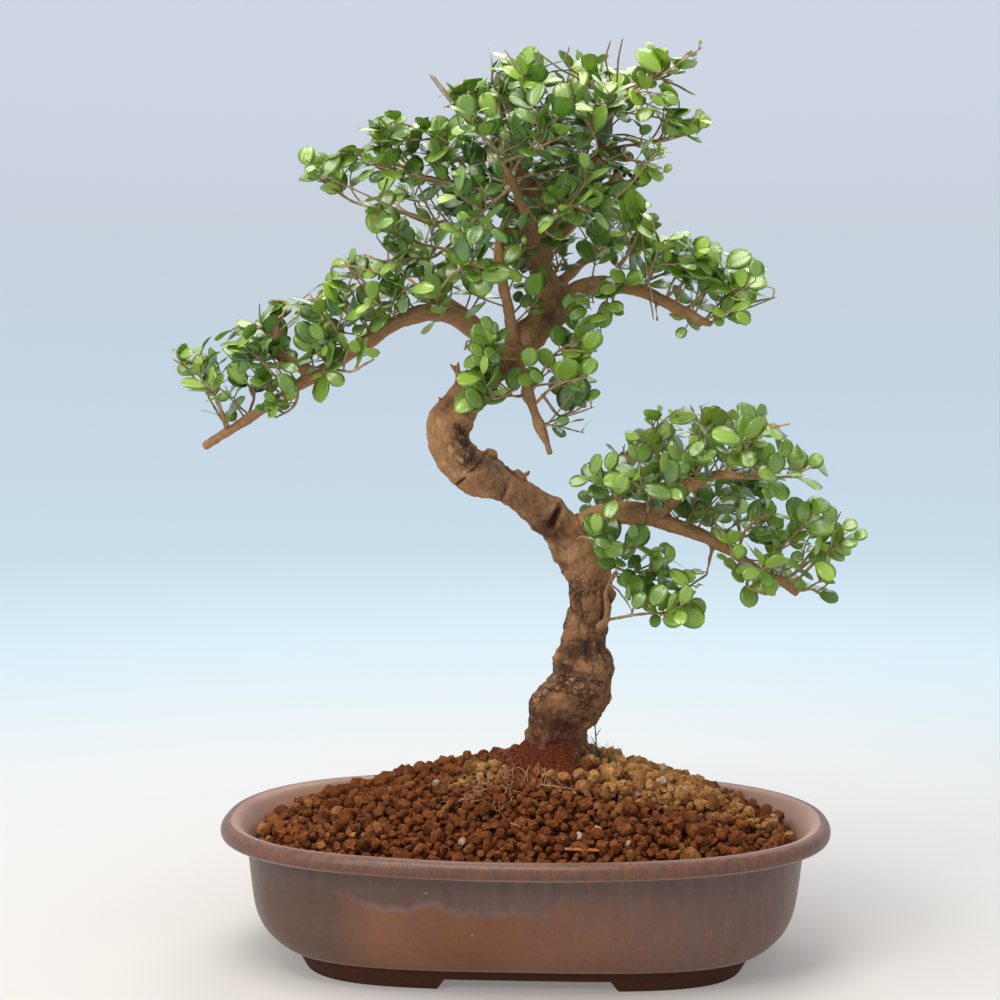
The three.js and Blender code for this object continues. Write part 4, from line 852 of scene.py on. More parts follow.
rough_wood = new_piece("rough_wood", *joined(tubes))
fuse = rough_wood.modifiers.new("fuse", "REMESH")
fuse.mode = "VOXEL"
fuse.voxel_size = voxel * 0.001
ease = rough_wood.modifiers.new("ease", "SMOOTH")
ease.factor = 0.5
ease.iterations = ease_rounds
fused = settled(rough_wood).to_mesh()
wood_corners = numbers_in(fused.vertices, "co", 3).astype(float) * 1000
wood_normals = numbers_in(fused.vertices, "normal", 3).astype(float)
wood_quads = numbers_in(fused.polygons, "vertices", 4, np.int32)
bpy.data.objects.remove(rough_wood)


def nearest_ring(points):
    """The number of the limb ring whose bark is nearest to each point, and the distance to that bark.
    The points are taken in blocks, to keep the table of distances small."""
    numbers, distances = [], []
    for block in np.array_split(points, max(len(points) // 4000, 1)):
        away = np.linalg.norm(block[:, None] - line_points[None], axis=-1) - line_radii[None]
        numbers.append(away.argmin(axis=1))
        distances.append(away.min(axis=1))
    return np.concatenate(numbers), np.concatenate(distances)


ring_of, _ = nearest_ring(wood_corners)
from_axis = wood_corners - line_points[ring_of]
across_of, third_of, bark_radius = line_across[ring_of], line_third[ring_of], line_radii[ring_of]
bark_angle = np.arctan2((from_axis * third_of).sum(-1), (from_axis * across_of).sum(-1))
bark_along = line_length[ring_of] + (from_axis * np.cross(across_of, third_of)).sum(-1)
bark_place = np.column_stack([np.cos(bark_angle) * bark_radius, np.sin(bark_angle) * bark_radius, bark_along])
thick = np.clip((bark_radius - 3) / 8, 0, 1)
# Old bark is cracked and lumpy low on the trunk and at the sharp bend, and smoother between and above
x, y, z = wood_corners.T
elbow_patch = np.exp(-(((x + 28) / 9) ** 2 + ((z - 262) / 16) ** 2) ** 1.5) * (y < -12)
rough = np.maximum(np.interp(z, [0, 182, 200, 500], [1, 1, 0.35, 0.3]), 1.2 * elbow_patch)
wrinkled = bark_place * [1, 1, 0.7] + 0.9 * lumps(bark_place, 4, 30)[:, None]
cracks = np.clip(1 - 4.4 * np.abs(lumps(wrinkled, 7.5, 31)), 0, 1) ** 0.8
small_cracks = np.clip(1 - 3.4 * np.abs(lumps(wrinkled, 3.1, 36)), 0, 1)
cross_cracks = np.clip(1 - 4.6 * np.abs(lumps(wrinkled * [0.45, 0.45, 1.5], 8, 38)), 0, 1)
height = thick * (-0.8 + 1.3 * lumps(bark_place, 19, 34) + (0.5 + 0.8 * rough) * lumps(bark_place, 8.5, 32)
                  + 0.8 * rough * lumps(bark_place, 3.6, 37) + 0.35 * lumps(bark_place, 1.8, 42)
                  - rough * (0.55 * cracks + 0.45 * cross_cracks) - 0.5 * rough * small_cracks)
height = height + 0.28 * lumps(bark_place, 12, 39) + 0.14 * lumps(bark_place, 2.2, 35)
height = height + 0.12 * lumps(bark_place * [0.25, 0.25, 1], 1.7, 33)
# The slit left by a pruned limb, with a raised rim, and the two marks where wire bit into the bark
slit_x, slit_z, slit_lean, slit_rise = 16.5, 224, 0.4, 0.92
slit_along = (x - slit_x) * slit_lean + (z - slit_z) * slit_rise
slit_off = (x - slit_x) * slit_rise - (z - slit_z) * slit_lean
slit = np.sqrt((slit_along / 6.5) ** 4 + (slit_off / 1.5) ** 2)
wound = np.exp(-slit ** 2) * (y < -6)
rim = np.exp(-((slit - 2.1) / 0.6) ** 2) * (y < -6)
scars = np.zeros(len(wood_corners))
wire_marks = ((-27, 248, -0.675, -0.737, 1.0), (-12, 232, -0.46, -0.886, 0.6))
for middle_x, middle_z, way_x, way_z, strength in wire_marks:
    off = (x - middle_x) * way_z - (z - middle_z) * way_x + 0.9 * lumps(wood_corners, 5, 40)
    near = np.exp(-(((x - middle_x) * way_x + (z - middle_z) * way_z) / 13) ** 4)
    patchy = np.clip(0.75 + 0.8 * lumps(wood_corners, 6, 41), 0, 1)
    scars = np.maximum(scars, np.exp(-(off / 0.95) ** 2) * near * patchy * strength * (y < -5))
wood_corners = wood_corners + wood_normals * (height - 3.0 * wound + 0.7 * rim - 0.9 * scars)[:, None]
broken = np.clip(0.8 + 1.2 * lumps(wood_corners, 9, 43), 0, 1)
deep = np.maximum(cracks, np.maximum(0.8 * cross_cracks, 0.6 * small_cracks)) * rough * thick * broken
wood = new_piece("trunk_and_limbs", wood_corners, wood_quads)
for name, values in (
    ("place", bark_place), ("height", height), ("cracks", deep), ("rough", rough * thick),
    ("wounds", np.maximum(wound, 0.8 * scars)),
):
    give(wood, "bark_" + name, values)

bark, shader = new_finish("privet_bark", 0.8, Specular_IOR_Level=0.3)
place, skin = own_place(), stored("bark_place", "Vector")
_, y, z = numbers_of(place)
raised, wounds, cracked, rough_bark = (
    stored("bark_" + name) for name in ("height", "wounds", "cracks", "rough"))


def spot(middle, radius):
    """A number that is 1 at a place given in millimetres and falls to 0 at a radius from it."""
    middle = tuple(c * 0.001 for c in middle)
    away = level("VectorMath", {0: own_place(), 1: middle}, "Value", operation="DISTANCE")
    return fade(away, radius * 0.001, radius * 0.0004)


def plate_edges(size, width):
    """Thin lines between plates of bark, of a size and half a width in millimetres, broken up in places."""
    sway = level("TexNoise", {"Vector": skin, "Scale": 0.2, "Detail": 3.0}, "Color")
    sway = level("VectorMath", {0: sway, 1: (size, size, size)}, operation="MULTIPLY")
    bent = level("VectorMath", {0: skin, 1: sway}, operation="ADD")
    from_edge = level("TexVoronoi", {"Vector": bent, "Scale": 1 / size}, "Distance",
                      feature="DISTANCE_TO_EDGE")
    lines = fade(from_edge, width / size, 0.2 * width / size)
    return lines * fade(mottle(skin, 10, 2, 0.5, millimetre=1), 0.47, 0.6)


grain = mottle(skin, 1.3, 4, 0.65, (1, 1, 1.9), 1)
blotch = mottle(skin, 9, 3, 0.6, (1, 1, 1.6), 1)
flecks = mottle(skin, 0.9, 2, 0.5, (1.6, 1.6, 0.8), 1)
lines = sums("MAXIMUM", plate_edges(8.5, 0.65), plate_edges(3.6, 0.4)) * fade(rough_bark, 0.3, 1.0)
dark_patches = sums("MAXIMUM", spot((41, -7, 156), 14), spot((12, -14, 118), 14))
dark_patches = sums("MAXIMUM", spot((-28, -21, 263), 14), dark_patches)
dark_patches = dark_patches * fade(mottle(skin, 2.6, 4, 0.75, millimetre=1), 0.46, 0.54)
green_film = fade(z, 0.135, 0.104) * fade(blotch, 0.42, 0.6)
old_peat = fade(z, 0.128, 0.108) * fade(y, -0.002, -0.008) * fade(blotch, 0.35, 0.5)
# Painted shade: a dark red-brown spot for a hollow low on the front of the trunk, which the wood itself does
# not have
hollow_shade = spot((12, -14, 121), 13) * fade(blotch, 0.3, 0.5)
dark_bark = mix(fade(blotch, 0.3, 0.7), (150, 104, 67), (170, 125, 84))
light_bark = mix(fade(blotch, 0.3, 0.7), (176, 128, 86), (198, 153, 107))
colour = mix(fade(grain, 0.35, 0.62), dark_bark, light_bark)
# Low on the trunk the bark is redder. Over that lie painted shade where the bark lies low, the cracks and
# plate lines as dark bark with painted shade in them, pale flecks, dark patches, green film, old peat at the
# foot, a spot of painted shade for a hollow, and the red-brown wounds.
feed(shader["Base Color"], coats(
    colour, (fade(z, 0.205, 0.16), mix(0.42, colour, (134, 84, 50))),
    # Painted shade where the bark lies low; the cracks and plate lines are dark bark with painted shade in
    # them
    (fade(raised, -0.6, -2.4), (84, 54, 36)), (cracked * 0.6, (66, 42, 30)), (lines * 0.85, (46, 28, 20)),
    (fade(flecks, 0.64, 0.74) * 0.6, (190, 164, 136)),
    (dark_patches * 0.7, (54, 44, 28)), (green_film * 0.55, (104, 96, 56)), (old_peat, (92, 40, 20)),
    (hollow_shade * 0.75, (72, 34, 20)), (fade(wounds, 0.12, 0.5), (74, 30, 20)),
))
bump_up(shader, grain + flecks * 0.4 - lines, 0.8)
wood.data.materials.append(bark)
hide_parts("trunk")
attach(wood, "root")


# Leafy sprays: twigs with small oval leaves in opposite pairs, each pair a quarter turn from the last.
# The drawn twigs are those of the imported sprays, and finer shoots and more leaves fill them out.
spray_routes = {
    "crown": [
        [[[-12, -4, 429], [-16, -9, 440], [-16, -11, 450]]],
        [[[11, 9, 406], [7, -8, 425], [-1, -20, 440], [-8, -26, 452]]],
        [[[18, 13, 429], [28, 27, 441], [38, 35, 453]], [[19, 15, 438], [23, 13, 453]]],
        [[[45, 0, 433], [59, -4, 442], [73, -5, 447], [86, -6, 455]], [[50, 16, 434], [49, 24, 450]]],
        [[[37, 3, 410], [57, -8, 412], [73, -13, 415], [88, -16, 418]], [[51, -22, 404], [66, -33, 399]]],
        [[[48, 24, 400], [55, 32, 388], [59, 37, 374]]],
        [[[-6, 0, 409], [-20, -11, 422], [-34, -17, 432], [-45, -20, 445]]],
        [[[-19, -3, 388], [-34, -19, 405], [-49, -28, 417], [-63, -33, 421]]],
        [[[-51, -14, 395], [-64, -9, 406], [-78, -5, 415]], [[-76, -27, 404], [-86, -30, 409]]],
        [[[-62, 16, 379], [-86, 14, 384], [-100, 8, 392], [-113, 3, 402]]],
        [[[-31, 13, 371], [-46, -2, 356], [-61, -11, 355], [-73, -13, 353]], [[-61, 3, 365], [-73, -5, 371]]],
        [[[-6, -46, 393], [-13, -63, 406], [-23, -71, 414]], [[8, -66, 404], [20, -75, 409]]],
        [[[-4, -36, 389], [-17, -59, 376], [-28, -67, 364]]],
        [[[0, -18, 380], [17, -45, 380], [34, -57, 375]]],
        [[[12, 66, 403], [17, 77, 423], [24, 81, 443]], [[36, 77, 397], [58, 82, 389]]],
        [[[8, 50, 392], [-15, 71, 408], [-38, 78, 417]]],
        [[[31, 4, 398], [33, -25, 413], [42, -40, 427]]],
        [[[-9, -1, 416], [-1, -30, 428], [11, -44, 443]]],
    ],
    "left": [
        [[[-45, -6, 328], [-39, -26, 342], [-27, -37, 350], [-15, -43, 348]]],
        [[[-67, -11, 321], [-77, -19, 339], [-89, -22, 352]], [[-61, -17, 339], [-63, -23, 354]]],
        [[[-80, -13, 312], [-93, 0, 331], [-104, 6, 342]]],
        [[[-90, -15, 306], [-94, -32, 321], [-106, -40, 332]]],
        [[[-124, -24, 320], [-119, -19, 332], [-129, -11, 334]], [[-132, -36, 319], [-141, -40, 320]]],
        [[[-115, -17, 290], [-123, -37, 297], [-132, -46, 308]]],
        [[[-140, -16, 273], [-138, -8, 287], [-149, 0, 296]]],
        [[[-151, -15, 267], [-151, -30, 281], [-156, -37, 291]],
         [[-157, -21, 289], [-163, -23, 296], [-170, -23, 302]]],
        [[[-98, -16, 300], [-86, -32, 298], [-73, -37, 304]]],
        [[[-114, -17, 291], [-114, -27, 281], [-123, -31, 275]]],
    ],
    "back": [
        [[[-60, 52, 343], [-76, 67, 354], [-91, 74, 361]], [[-58, 66, 350], [-53, 80, 365]]],
        [[[39, 62, 363], [58, 76, 369], [76, 85, 363]]],
    ],
    "right": [
        [[[41, 2, 342], [53, -16, 358], [59, -22, 375]]],
        [[[61, -1, 338], [65, -23, 353], [70, -29, 363]]],
        [[[70, -3, 334], [84, -10, 346], [95, -14, 359]]],
        [[[81, -5, 328], [98, 8, 344], [115, 15, 351]]],
        [[[89, -6, 323], [105, -8, 330], [125, -7, 335]]],
        [[[52, 0, 340], [72, 23, 348], [91, 36, 354]]],
    ],
    "centre": [
        [[[-3, -6, 304], [-11, -24, 305], [-22, -33, 309]]],
        [[[0, -12, 293], [-11, -27, 285], [-23, -31, 286]]],
        [[[3, -14, 286], [16, -15, 307], [39, -20, 318]]],
        [[[5, -14, 281], [16, -21, 291], [31, -27, 295]], [[19, -9, 275], [29, -5, 284]]],
    ],
    "lower": [
        [[[41, -3, 223], [45, -28, 238], [34, -39, 246]]],
        [[[50, -6, 226], [54, -4, 243], [50, 0, 259]]],
        [[[62, -8, 224], [63, -33, 236], [72, -45, 242]]],
        [[[76, -11, 241], [67, -17, 257], [64, -19, 273]]],
        [[[79, -13, 252], [89, -4, 265], [96, 0, 278]]],
        [[[108, -33, 246], [127, -33, 246], [144, -32, 252]],
         [[108, -38, 260], [117, -41, 273], [129, -43, 267]]],
        [[[107, -13, 206], [111, -29, 221], [121, -37, 229]], [[109, -1, 232], [124, 7, 246]]],
        [[[122, -11, 196], [129, -23, 211], [140, -28, 222]], [[111, -25, 193], [120, -31, 188]]],
        [[[131, -10, 192], [146, -8, 204], [166, -5, 216]]],
        [[[137, -8, 187], [147, 6, 186], [156, 13, 180]]],
        [[[75, 60, 241], [90, 76, 254], [99, 84, 266]], [[93, 70, 225], [113, 79, 218]]],
    ],
    "trunk": [
        [[[37, 2, 202], [54, -22, 198], [72, -27, 201]], [[45, -26, 210], [39, -30, 217]]],
        [[[40, -6, 171], [57, -18, 176], [75, -23, 177], [88, -26, 173]]],
    ],
}
# The line that the pads of leaves are clipped to, seen from the front: X and Z in the plane y = 0
upper_outline = np.array([
    (-182, 309), (-165, 320), (-146, 326), (-135, 335), (-115, 342), (-102, 341), (-97, 355),
    (-89, 359), (-72, 353), (-68, 360), (-80, 369), (-83, 380), (-97, 384), (-105, 394), (-117, 398),
    (-113, 411), (-89, 413), (-81, 411), (-85, 422), (-68, 433), (-54, 429), (-44, 440), (-47, 450),
    (-28, 445), (-17, 453), (-18, 462), (-3, 458), (8, 464), (25, 464), (38, 458), (51, 465),
    (64, 464), (70, 458), (89, 464), (84, 452), (76, 446), (80, 436), (95, 425), (89, 416), (75, 409),
    (73, 397), (61, 390), (66, 377), (68, 368), (84, 368), (100, 361), (115, 358), (123, 348),
    (128, 336), (113, 325), (112, 320), (90, 321), (79, 313), (70, 322), (58, 332), (48, 327),
    (40, 315), (35, 298), (37, 283), (30, 267), (20, 263), (14, 270), (8, 273), (2, 282), (-5, 285),
    (-13, 282), (-24, 280), (-32, 276), (-37, 287), (-32, 301), (-38, 314), (-28, 319), (-34, 326),
    (-43, 319), (-64, 314), (-75, 300), (-92, 295), (-100, 282), (-116, 279), (-122, 271), (-147, 268),
    (-162, 266), (-166, 282), (-175, 289),
])
lower_outline = np.array([
    (3, 241), (18, 251), (33, 258), (48, 264), (62, 268), (63, 282), (76, 281), (90, 282), (107, 279),
    (109, 288), (120, 284), (136, 269), (141, 258), (153, 257), (154, 245), (159, 231), (164, 222),
    (175, 216), (164, 206), (156, 201), (158, 180), (140, 180), (130, 181), (112, 177), (107, 187),
    (97, 194), (89, 186), (92, 170), (70, 170), (59, 166), (51, 180), (37, 185), (30, 200), (32, 216),
    (23, 226), (12, 232),
])
crown_middle = np.array([0, 5, 320.0])
leaf_length, leaf_width_share, leaf_droop = 12.6, 0.43, 0.09
pair_step, fine_step, pairs_on_twig, bare_share, node_half = 11, 8, 3, 0.48, 0.7
twig_radius, twig_tip_radius, shoot_radius = 0.88, 0.5, 0.65
fullness = {"crown": 0.9, "left": 0.63, "back": 0.85, "right": 0.52, "centre": 0.4, "lower": 0.68,
            "trunk": 0.7}
fine_spacing, limb_spacing, golden_turn, fine_radius, clear_of_bark = 9, 5.5, 2.4, 0.55, 2.5
shoot_from, shoot_length, long_twig, branch_from, side_index = 0.55, 20, 42, 0.22, 10


def in_pads(points):
    """Whether each point, as seen from the camera, lies inside the upper or the lower clipping line."""
    eye = np.array(camera.location) * 1000
    points = np.atleast_2d(points)
    px, _, pz = (eye + (points - eye) * (-eye[1] / (points[:, 1:2] - eye[1]))).T
    within = np.zeros(len(points), bool)
    for outline in (upper_outline, lower_outline):
        x0, z0 = outline.T[:, :, None]
        x1, z1 = np.roll(outline, -1, axis=0).T[:, :, None]
        rise = np.where(z1 == z0, 1, z1 - z0)
        crossings = ((z0 > pz) != (z1 > pz)) & (px < x0 + (pz - z0) * (x1 - x0) / rise)
        within |= crossings.sum(axis=0) % 2 == 1
    return within


def chance(spray, twig, leaf, use):
    """The draw from 0 to 1 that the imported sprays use, so that leaves grow in the same places here."""
    mixed = 0
    for whole, factor in zip((spray, twig, leaf, use), stir):
        mixed ^= (whole + 1) * factor
    mixed &= 0xFFFFFFFF
    for shift, factor in ((15, stir[2]), (13, stir[3])):
        mixed = ((mixed ^ (mixed >> shift)) * factor) & 0xFFFFFFFF
    return (mixed ^ (mixed >> 16)) / 2 ** 32


def way_along(route, t):
    """The way a route runs at a share t."""
    return unit(follow(route, min(t + 0.02, 1)) - follow(route, max(t - 0.02, 0)))


class Twig:
    """One twig: its route, its numbers for the draws, its radius, and the turn of its leaf pairs."""

    def __init__(self, route, spray, index, radius, pairs, fine=False):
        self.route = np.asarray(route, float)
        self.spray, self.index, self.radius, self.pairs, self.fine = spray, index, radius, pairs, fine
        self.length = route_length(self.route)
        across, third = side_ways(way_along(self.route, 0))
        turn = 2 * math.pi * chance(spray, index, 0, 7)
        self.across = across * math.cos(turn) + third * math.sin(turn)

    def leave_at(self, t, angle):
        """The place at a share t, the way the twig runs there, and the way out of it at an angle round it."""
        tangent = way_along(self.route, t)
        across = unit(self.across - tangent * (self.across @ tangent))
        out = across * math.cos(angle) + np.cross(tangent, across) * math.sin(angle)
        return follow(self.route, t), tangent, out

    def draw(self, leaf, use):
        """The twig's draw for one leaf and one use."""
        return chance(self.spray, self.index, leaf, use)


def leaf_on(twig, t, pair, side, shrink):
    """One leaf: root, the way it points, the way its face looks, its length, and its draws for looks."""
    point, tangent, out = twig.leave_at(t, side * math.pi / 2)
    lot = [twig.draw(4 * pair + side, use) for use in range(15)]
    way = tangent * (0.45 + 0.3 * lot[0]) + out * 0.85
    way = unit(way + [0.3 * (lot[4] - 0.5), 0.3 * (lot[5] - 0.5), 0.16])
    face = 0.4 * unit(point - crown_middle)
    face = face + [0.9 * (lot[1] - 0.5), 0.9 * (lot[2] - 0.5) - 0.34, 0.75]
    face = unit(face - way * (face @ way))
    radius = twig.radius + (twig_tip_radius - twig.radius) * t
    size = leaf_length * (0.8 + 0.4 * lot[3]) * (0.86 if pair == 0 else 1) * shrink
    looks = [lot[11], lot[12], lot[13] if pair == 0 else 0.0, lot[14]]
    return np.concatenate([point + out * radius * 0.6, way, face, [size], looks])


def leaf_pair(twig, t, pair, shrink=1.0):
    """Two leaves on opposite sides of a twig. Each pair is a quarter turn round from the last."""
    return [leaf_on(twig, t, pair, side, shrink) for side in (pair % 2, pair % 2 + 2)]


def grow_spray(routes, spray, full):
    """The twigs of a spray and its leaves: the drawn twigs, their side shoots, then the finer growth."""
    twigs = []
    for index, points in enumerate(routes):
        route = points if index == 0 else [follow(twigs[0].route, branch_from), *points]
        twigs.append(Twig(route, spray, index, twig_radius * (0.9 if index else 1), pairs_on_twig))
    for parent in [twig for twig in twigs if twig.length > long_twig]:
        start, tangent, out = parent.leave_at(shoot_from, math.floor(4 * parent.draw(0, 8)) * math.pi / 2)
        way = unit(tangent * 0.6 + out * 0.8 + [0, 0, 0.2])
        end = start + way * shoot_length * (0.8 + 0.4 * parent.draw(0, 9))
        twigs.append(Twig([start, end], spray, side_index + parent.index, shoot_radius, 1))
    leaves = []
    for twig in twigs:
        for pair in range(twig.pairs):
            t = 1 - (node_half + pair * pair_step) / twig.length
            if t > bare_share:
                leaves += leaf_pair(twig, t, pair)
    fine, fine_leaves = finer_growth(twigs, full)
    return twigs + fine, leaves + fine_leaves


def finer_growth(twigs, full):
    """Adds leaf pairs between the drawn ones, and thin shoots with two or three pairs along each twig."""
    fine, leaves = [], []
    for twig in twigs:
        for step in range(3):
            t = 1 - (node_half + (step + 0.5) * pair_step) / twig.length
            if t > 0.35 and twig.draw(step, 24) < 0.5 * full:
                leaves += leaf_pair(twig, t, 20 + step, 0.85)
        if twig.index >= side_index:
            continue
        count = max(int(full * twig.length / fine_spacing), 2)
        for number in range(count):
            t = 0.26 + 0.68 * (number + 0.6 * twig.draw(number, 23)) / count
            angle = golden_turn * number + 6.28 * twig.draw(number, 21)
            index = 40 + 10 * twig.index + number
            add_shoot(fine, leaves, side_shoot(twig, t, angle, index, 1.15 - 0.4 * t))
    return fine, leaves


def side_shoot(twig, t, angle, index, scale):
    """A thin shoot that leaves a twig slantwise at an angle round it and bends up to the light."""
    start, tangent, out = twig.leave_at(t, angle)
    out = out * [1, 1, -1] if out[2] < -0.45 else out
    lot = [chance(twig.spray, index, number, 22) for number in range(4)]
    lean = np.array([0.7 * lot[1] - 0.35, 0.7 * lot[2] - 0.35, 0.15])
    way = unit(tangent * (0.2 + 0.7 * lot[3]) + out * 0.85 + lean)
    reach = (9 + 15 * lot[0]) * scale
    middle = start + way * reach * 0.55
    end = middle + unit(way + [0, 0, 0.3] - 2 * lean) * reach * 0.5
    return Twig([start, middle, end], twig.spray, index, fine_radius, 3, fine=True)


def add_shoot(shoots, leaves, shoot):
    """Keeps a thin shoot that ends inside the pads, with leaf pairs mostly smaller than on the twigs."""
    if in_pads(shoot.route[-1])[0]:
        shoots.append(shoot)
        for pair in range(shoot.pairs):
            t = 1 - (0.5 + pair * fine_step) / shoot.length
            if t > 0.25:
                leaves += leaf_pair(shoot, t, pair, 0.6 + 0.55 * shoot.draw(pair, 25))


def leaf_template():
    """A leaf blade as shares: along it, across it, and above or below its middle layer, closed at its rim."""
    along = np.array([0.07, 0.22, 0.42, 0.62, 0.8, 0.94])[:, None]
    across = np.array([-1, -0.5, 0, 0.5, 1])
    upper, lower = (np.stack(np.broadcast_arrays(along, line, layer), axis=-1).reshape(-1, 3)
                    for line, layer in ((across, 1.0), (across[1:-1], -1.0)))
    rows = len(along)
    top = np.arange(rows * 5).reshape(rows, 5)
    under = top.copy()
    under[:, 1:-1] = rows * 5 + np.arange(rows * 3).reshape(rows, 3)
    base, tip = np.full(4, rows * 8), np.full(4, rows * 8 + 1)
    quads, triangles = [], []
    for sheet, way in ((top, 1), (under, -1)):
        cells = np.stack([sheet[:-1, :-1], sheet[:-1, 1:], sheet[1:, 1:], sheet[1:, :-1]], axis=-1)
        quads.append(cells.reshape(-1, 4)[:, ::way])
        triangles += [np.stack([base, sheet[0, 1:], sheet[0, :-1]], axis=-1)[:, ::way],
                      np.stack([tip, sheet[-1, :-1], sheet[-1, 1:]], axis=-1)[:, ::way]]
    return np.vstack([upper, lower, [[0, 0, 0], [1, 0, 0]]]), np.vstack(quads), np.vstack(triangles)


blade, blade_quads, blade_triangles = leaf_template()
stalk = 1.6


def leaf_corners(leaves):
    """Every leaf at once: half its width goes as (4u(1-u))^0.52, and it is folded on the midrib, arched and
    waved. u runs along the blade and v across it."""
    root, way, face = leaves[:, None, 0:3], leaves[:, None, 3:6], leaves[:, None, 6:9]
    size, a, b, young, c = leaves[:, 9:14].T[:, :, None]
    u, v, layer = blade.T
    outline = np.maximum(4 * u * (1 - u), 0) ** 0.52 * (0.9 + 0.2 * u)
    sideways = v * outline * (leaf_width_share * size * (0.88 + 0.3 * a) * (1 - 0.2 * young))
    fold = (0.02 + 0.11 * b) * (1 + 0.4 * young)
    rise = fold * np.abs(sideways) * (1 - 0.35 * np.abs(v))
    rise = rise + 0.03 * size * 4 * u * (1 - u) - (leaf_droop + 0.14 * (c - 0.5)) * size * u * u
    rise = rise + 0.018 * size * np.sin(9 * u + 6 * a) * v * outline
    rise = rise + 0.14 * layer * (1 - v * v) * (1 - np.abs(2 * u - 1) ** 3) - 0.1 * (np.abs(v) < 0.01) * layer
    twist = 0.5 * (a - 0.5) * u
    return (root + way * (stalk + u * size)[..., None]
            + np.cross(face, way) * (sideways * np.cos(twist))[..., None]
            + face * (rise + sideways * np.sin(twist))[..., None])


def leaf_stalks(leaves):
    """The short stalk of each leaf: a three-sided tube from the twig to just inside the blade."""
    root, way, face = leaves[:, None, 0:3], leaves[:, None, 3:6], leaves[:, None, 6:9]
    angle = turns(3)[:, None]
    ring = np.cross(face, way) * np.cos(angle) + face * np.sin(angle)
    ends = [root - way * 0.3 + ring * 0.42, root + way * (stalk + 0.9) + ring * 0.3]
    corners = np.concatenate(ends, axis=1)
    quads = copies(np.array([[0, 1, 4, 3], [1, 2, 5, 4], [2, 0, 3, 5]]), len(leaves), 6)
    return corners.reshape(-1, 3), quads, copies(np.array([[2, 1, 0], [3, 4, 5]]), len(leaves), 6)


def twig_part(twig):
    """A twig's own tube, a little thicker at each leaf pair, with a bud at its tip."""
    share = np.linspace(0, 1, max(int(twig.length / 1.8), 5))
    points = follow(twig.route, share)
    wobble = np.stack([lumps(points, 7, 60 + k) for k in range(3)], axis=-1) * 0.5
    tip_radius = twig_tip_radius * (0.8 if twig.fine else 1)
    swell = np.exp(-(((1 - share) * twig.length % (pair_step / 2) - 0.7) / 0.8) ** 2)
    radii = (twig.radius + (tip_radius - twig.radius) * share) * (1 + 0.22 * swell)
    radii[-1] *= 0.55
    return tube(points + wobble * np.sin(math.pi * share)[:, None], radii, 6, tip=2.2)


leaf_green, shader = new_finish("privet_leaf", 0.36, Specular_IOR_Level=0.85, Coat_Weight=0.75,
                                Coat_Roughness=0.22)
u, v, _ = numbers_of(level("UVMap", uv_map="blade"))
tone, youth, under = (stored("leaf_" + name) for name in ("tone", "youth", "under"))
cloud = mottle(own_place(), 3.5, 3, 0.6)
from_rib = abs(v - 0.5)
rib = fade(from_rib, 0.045, 0.015)
vein = fade(abs(sums("FRACT", u * 7.0 - from_rib * 5.5) - 0.5), 0.07, 0.02)
feed(shader["Base Color"], coats(
    mix(tone, (51, 93, 23), (144, 180, 38)), (fade(cloud, 0.35, 0.7) * 0.3, (146, 186, 54)),
    (youth, (164, 198, 62)), (rib * 0.13, (150, 182, 96)), (vein * 0.06, (128, 166, 84)),
    (under, mix(tone, (98, 142, 32), (156, 190, 56))),
))
feed(shader["Roughness"], fade(under, 0, 1, 0.36, 0.6))
feed(shader["Coat Weight"], fade(under, 0, 1, 0.75, 0.0))
bump_up(shader, cloud * 0.3 - sums("MAXIMUM", rib, vein * 0.5), 0.12)

twig_bark, shader = new_finish("twig_bark", 0.65, Specular_IOR_Level=0.3)
place = own_place()
colour = mix(fade(mottle(place, 3, 3, 0.6), 0.3, 0.7), (138, 106, 72), (196, 164, 122))
feed(shader["Base Color"], mix(stored("leaf_youth") * 0.8, colour, (120, 142, 66)))
bump_up(shader, mottle(place, 0.8, 2, 0.6), 0.15)


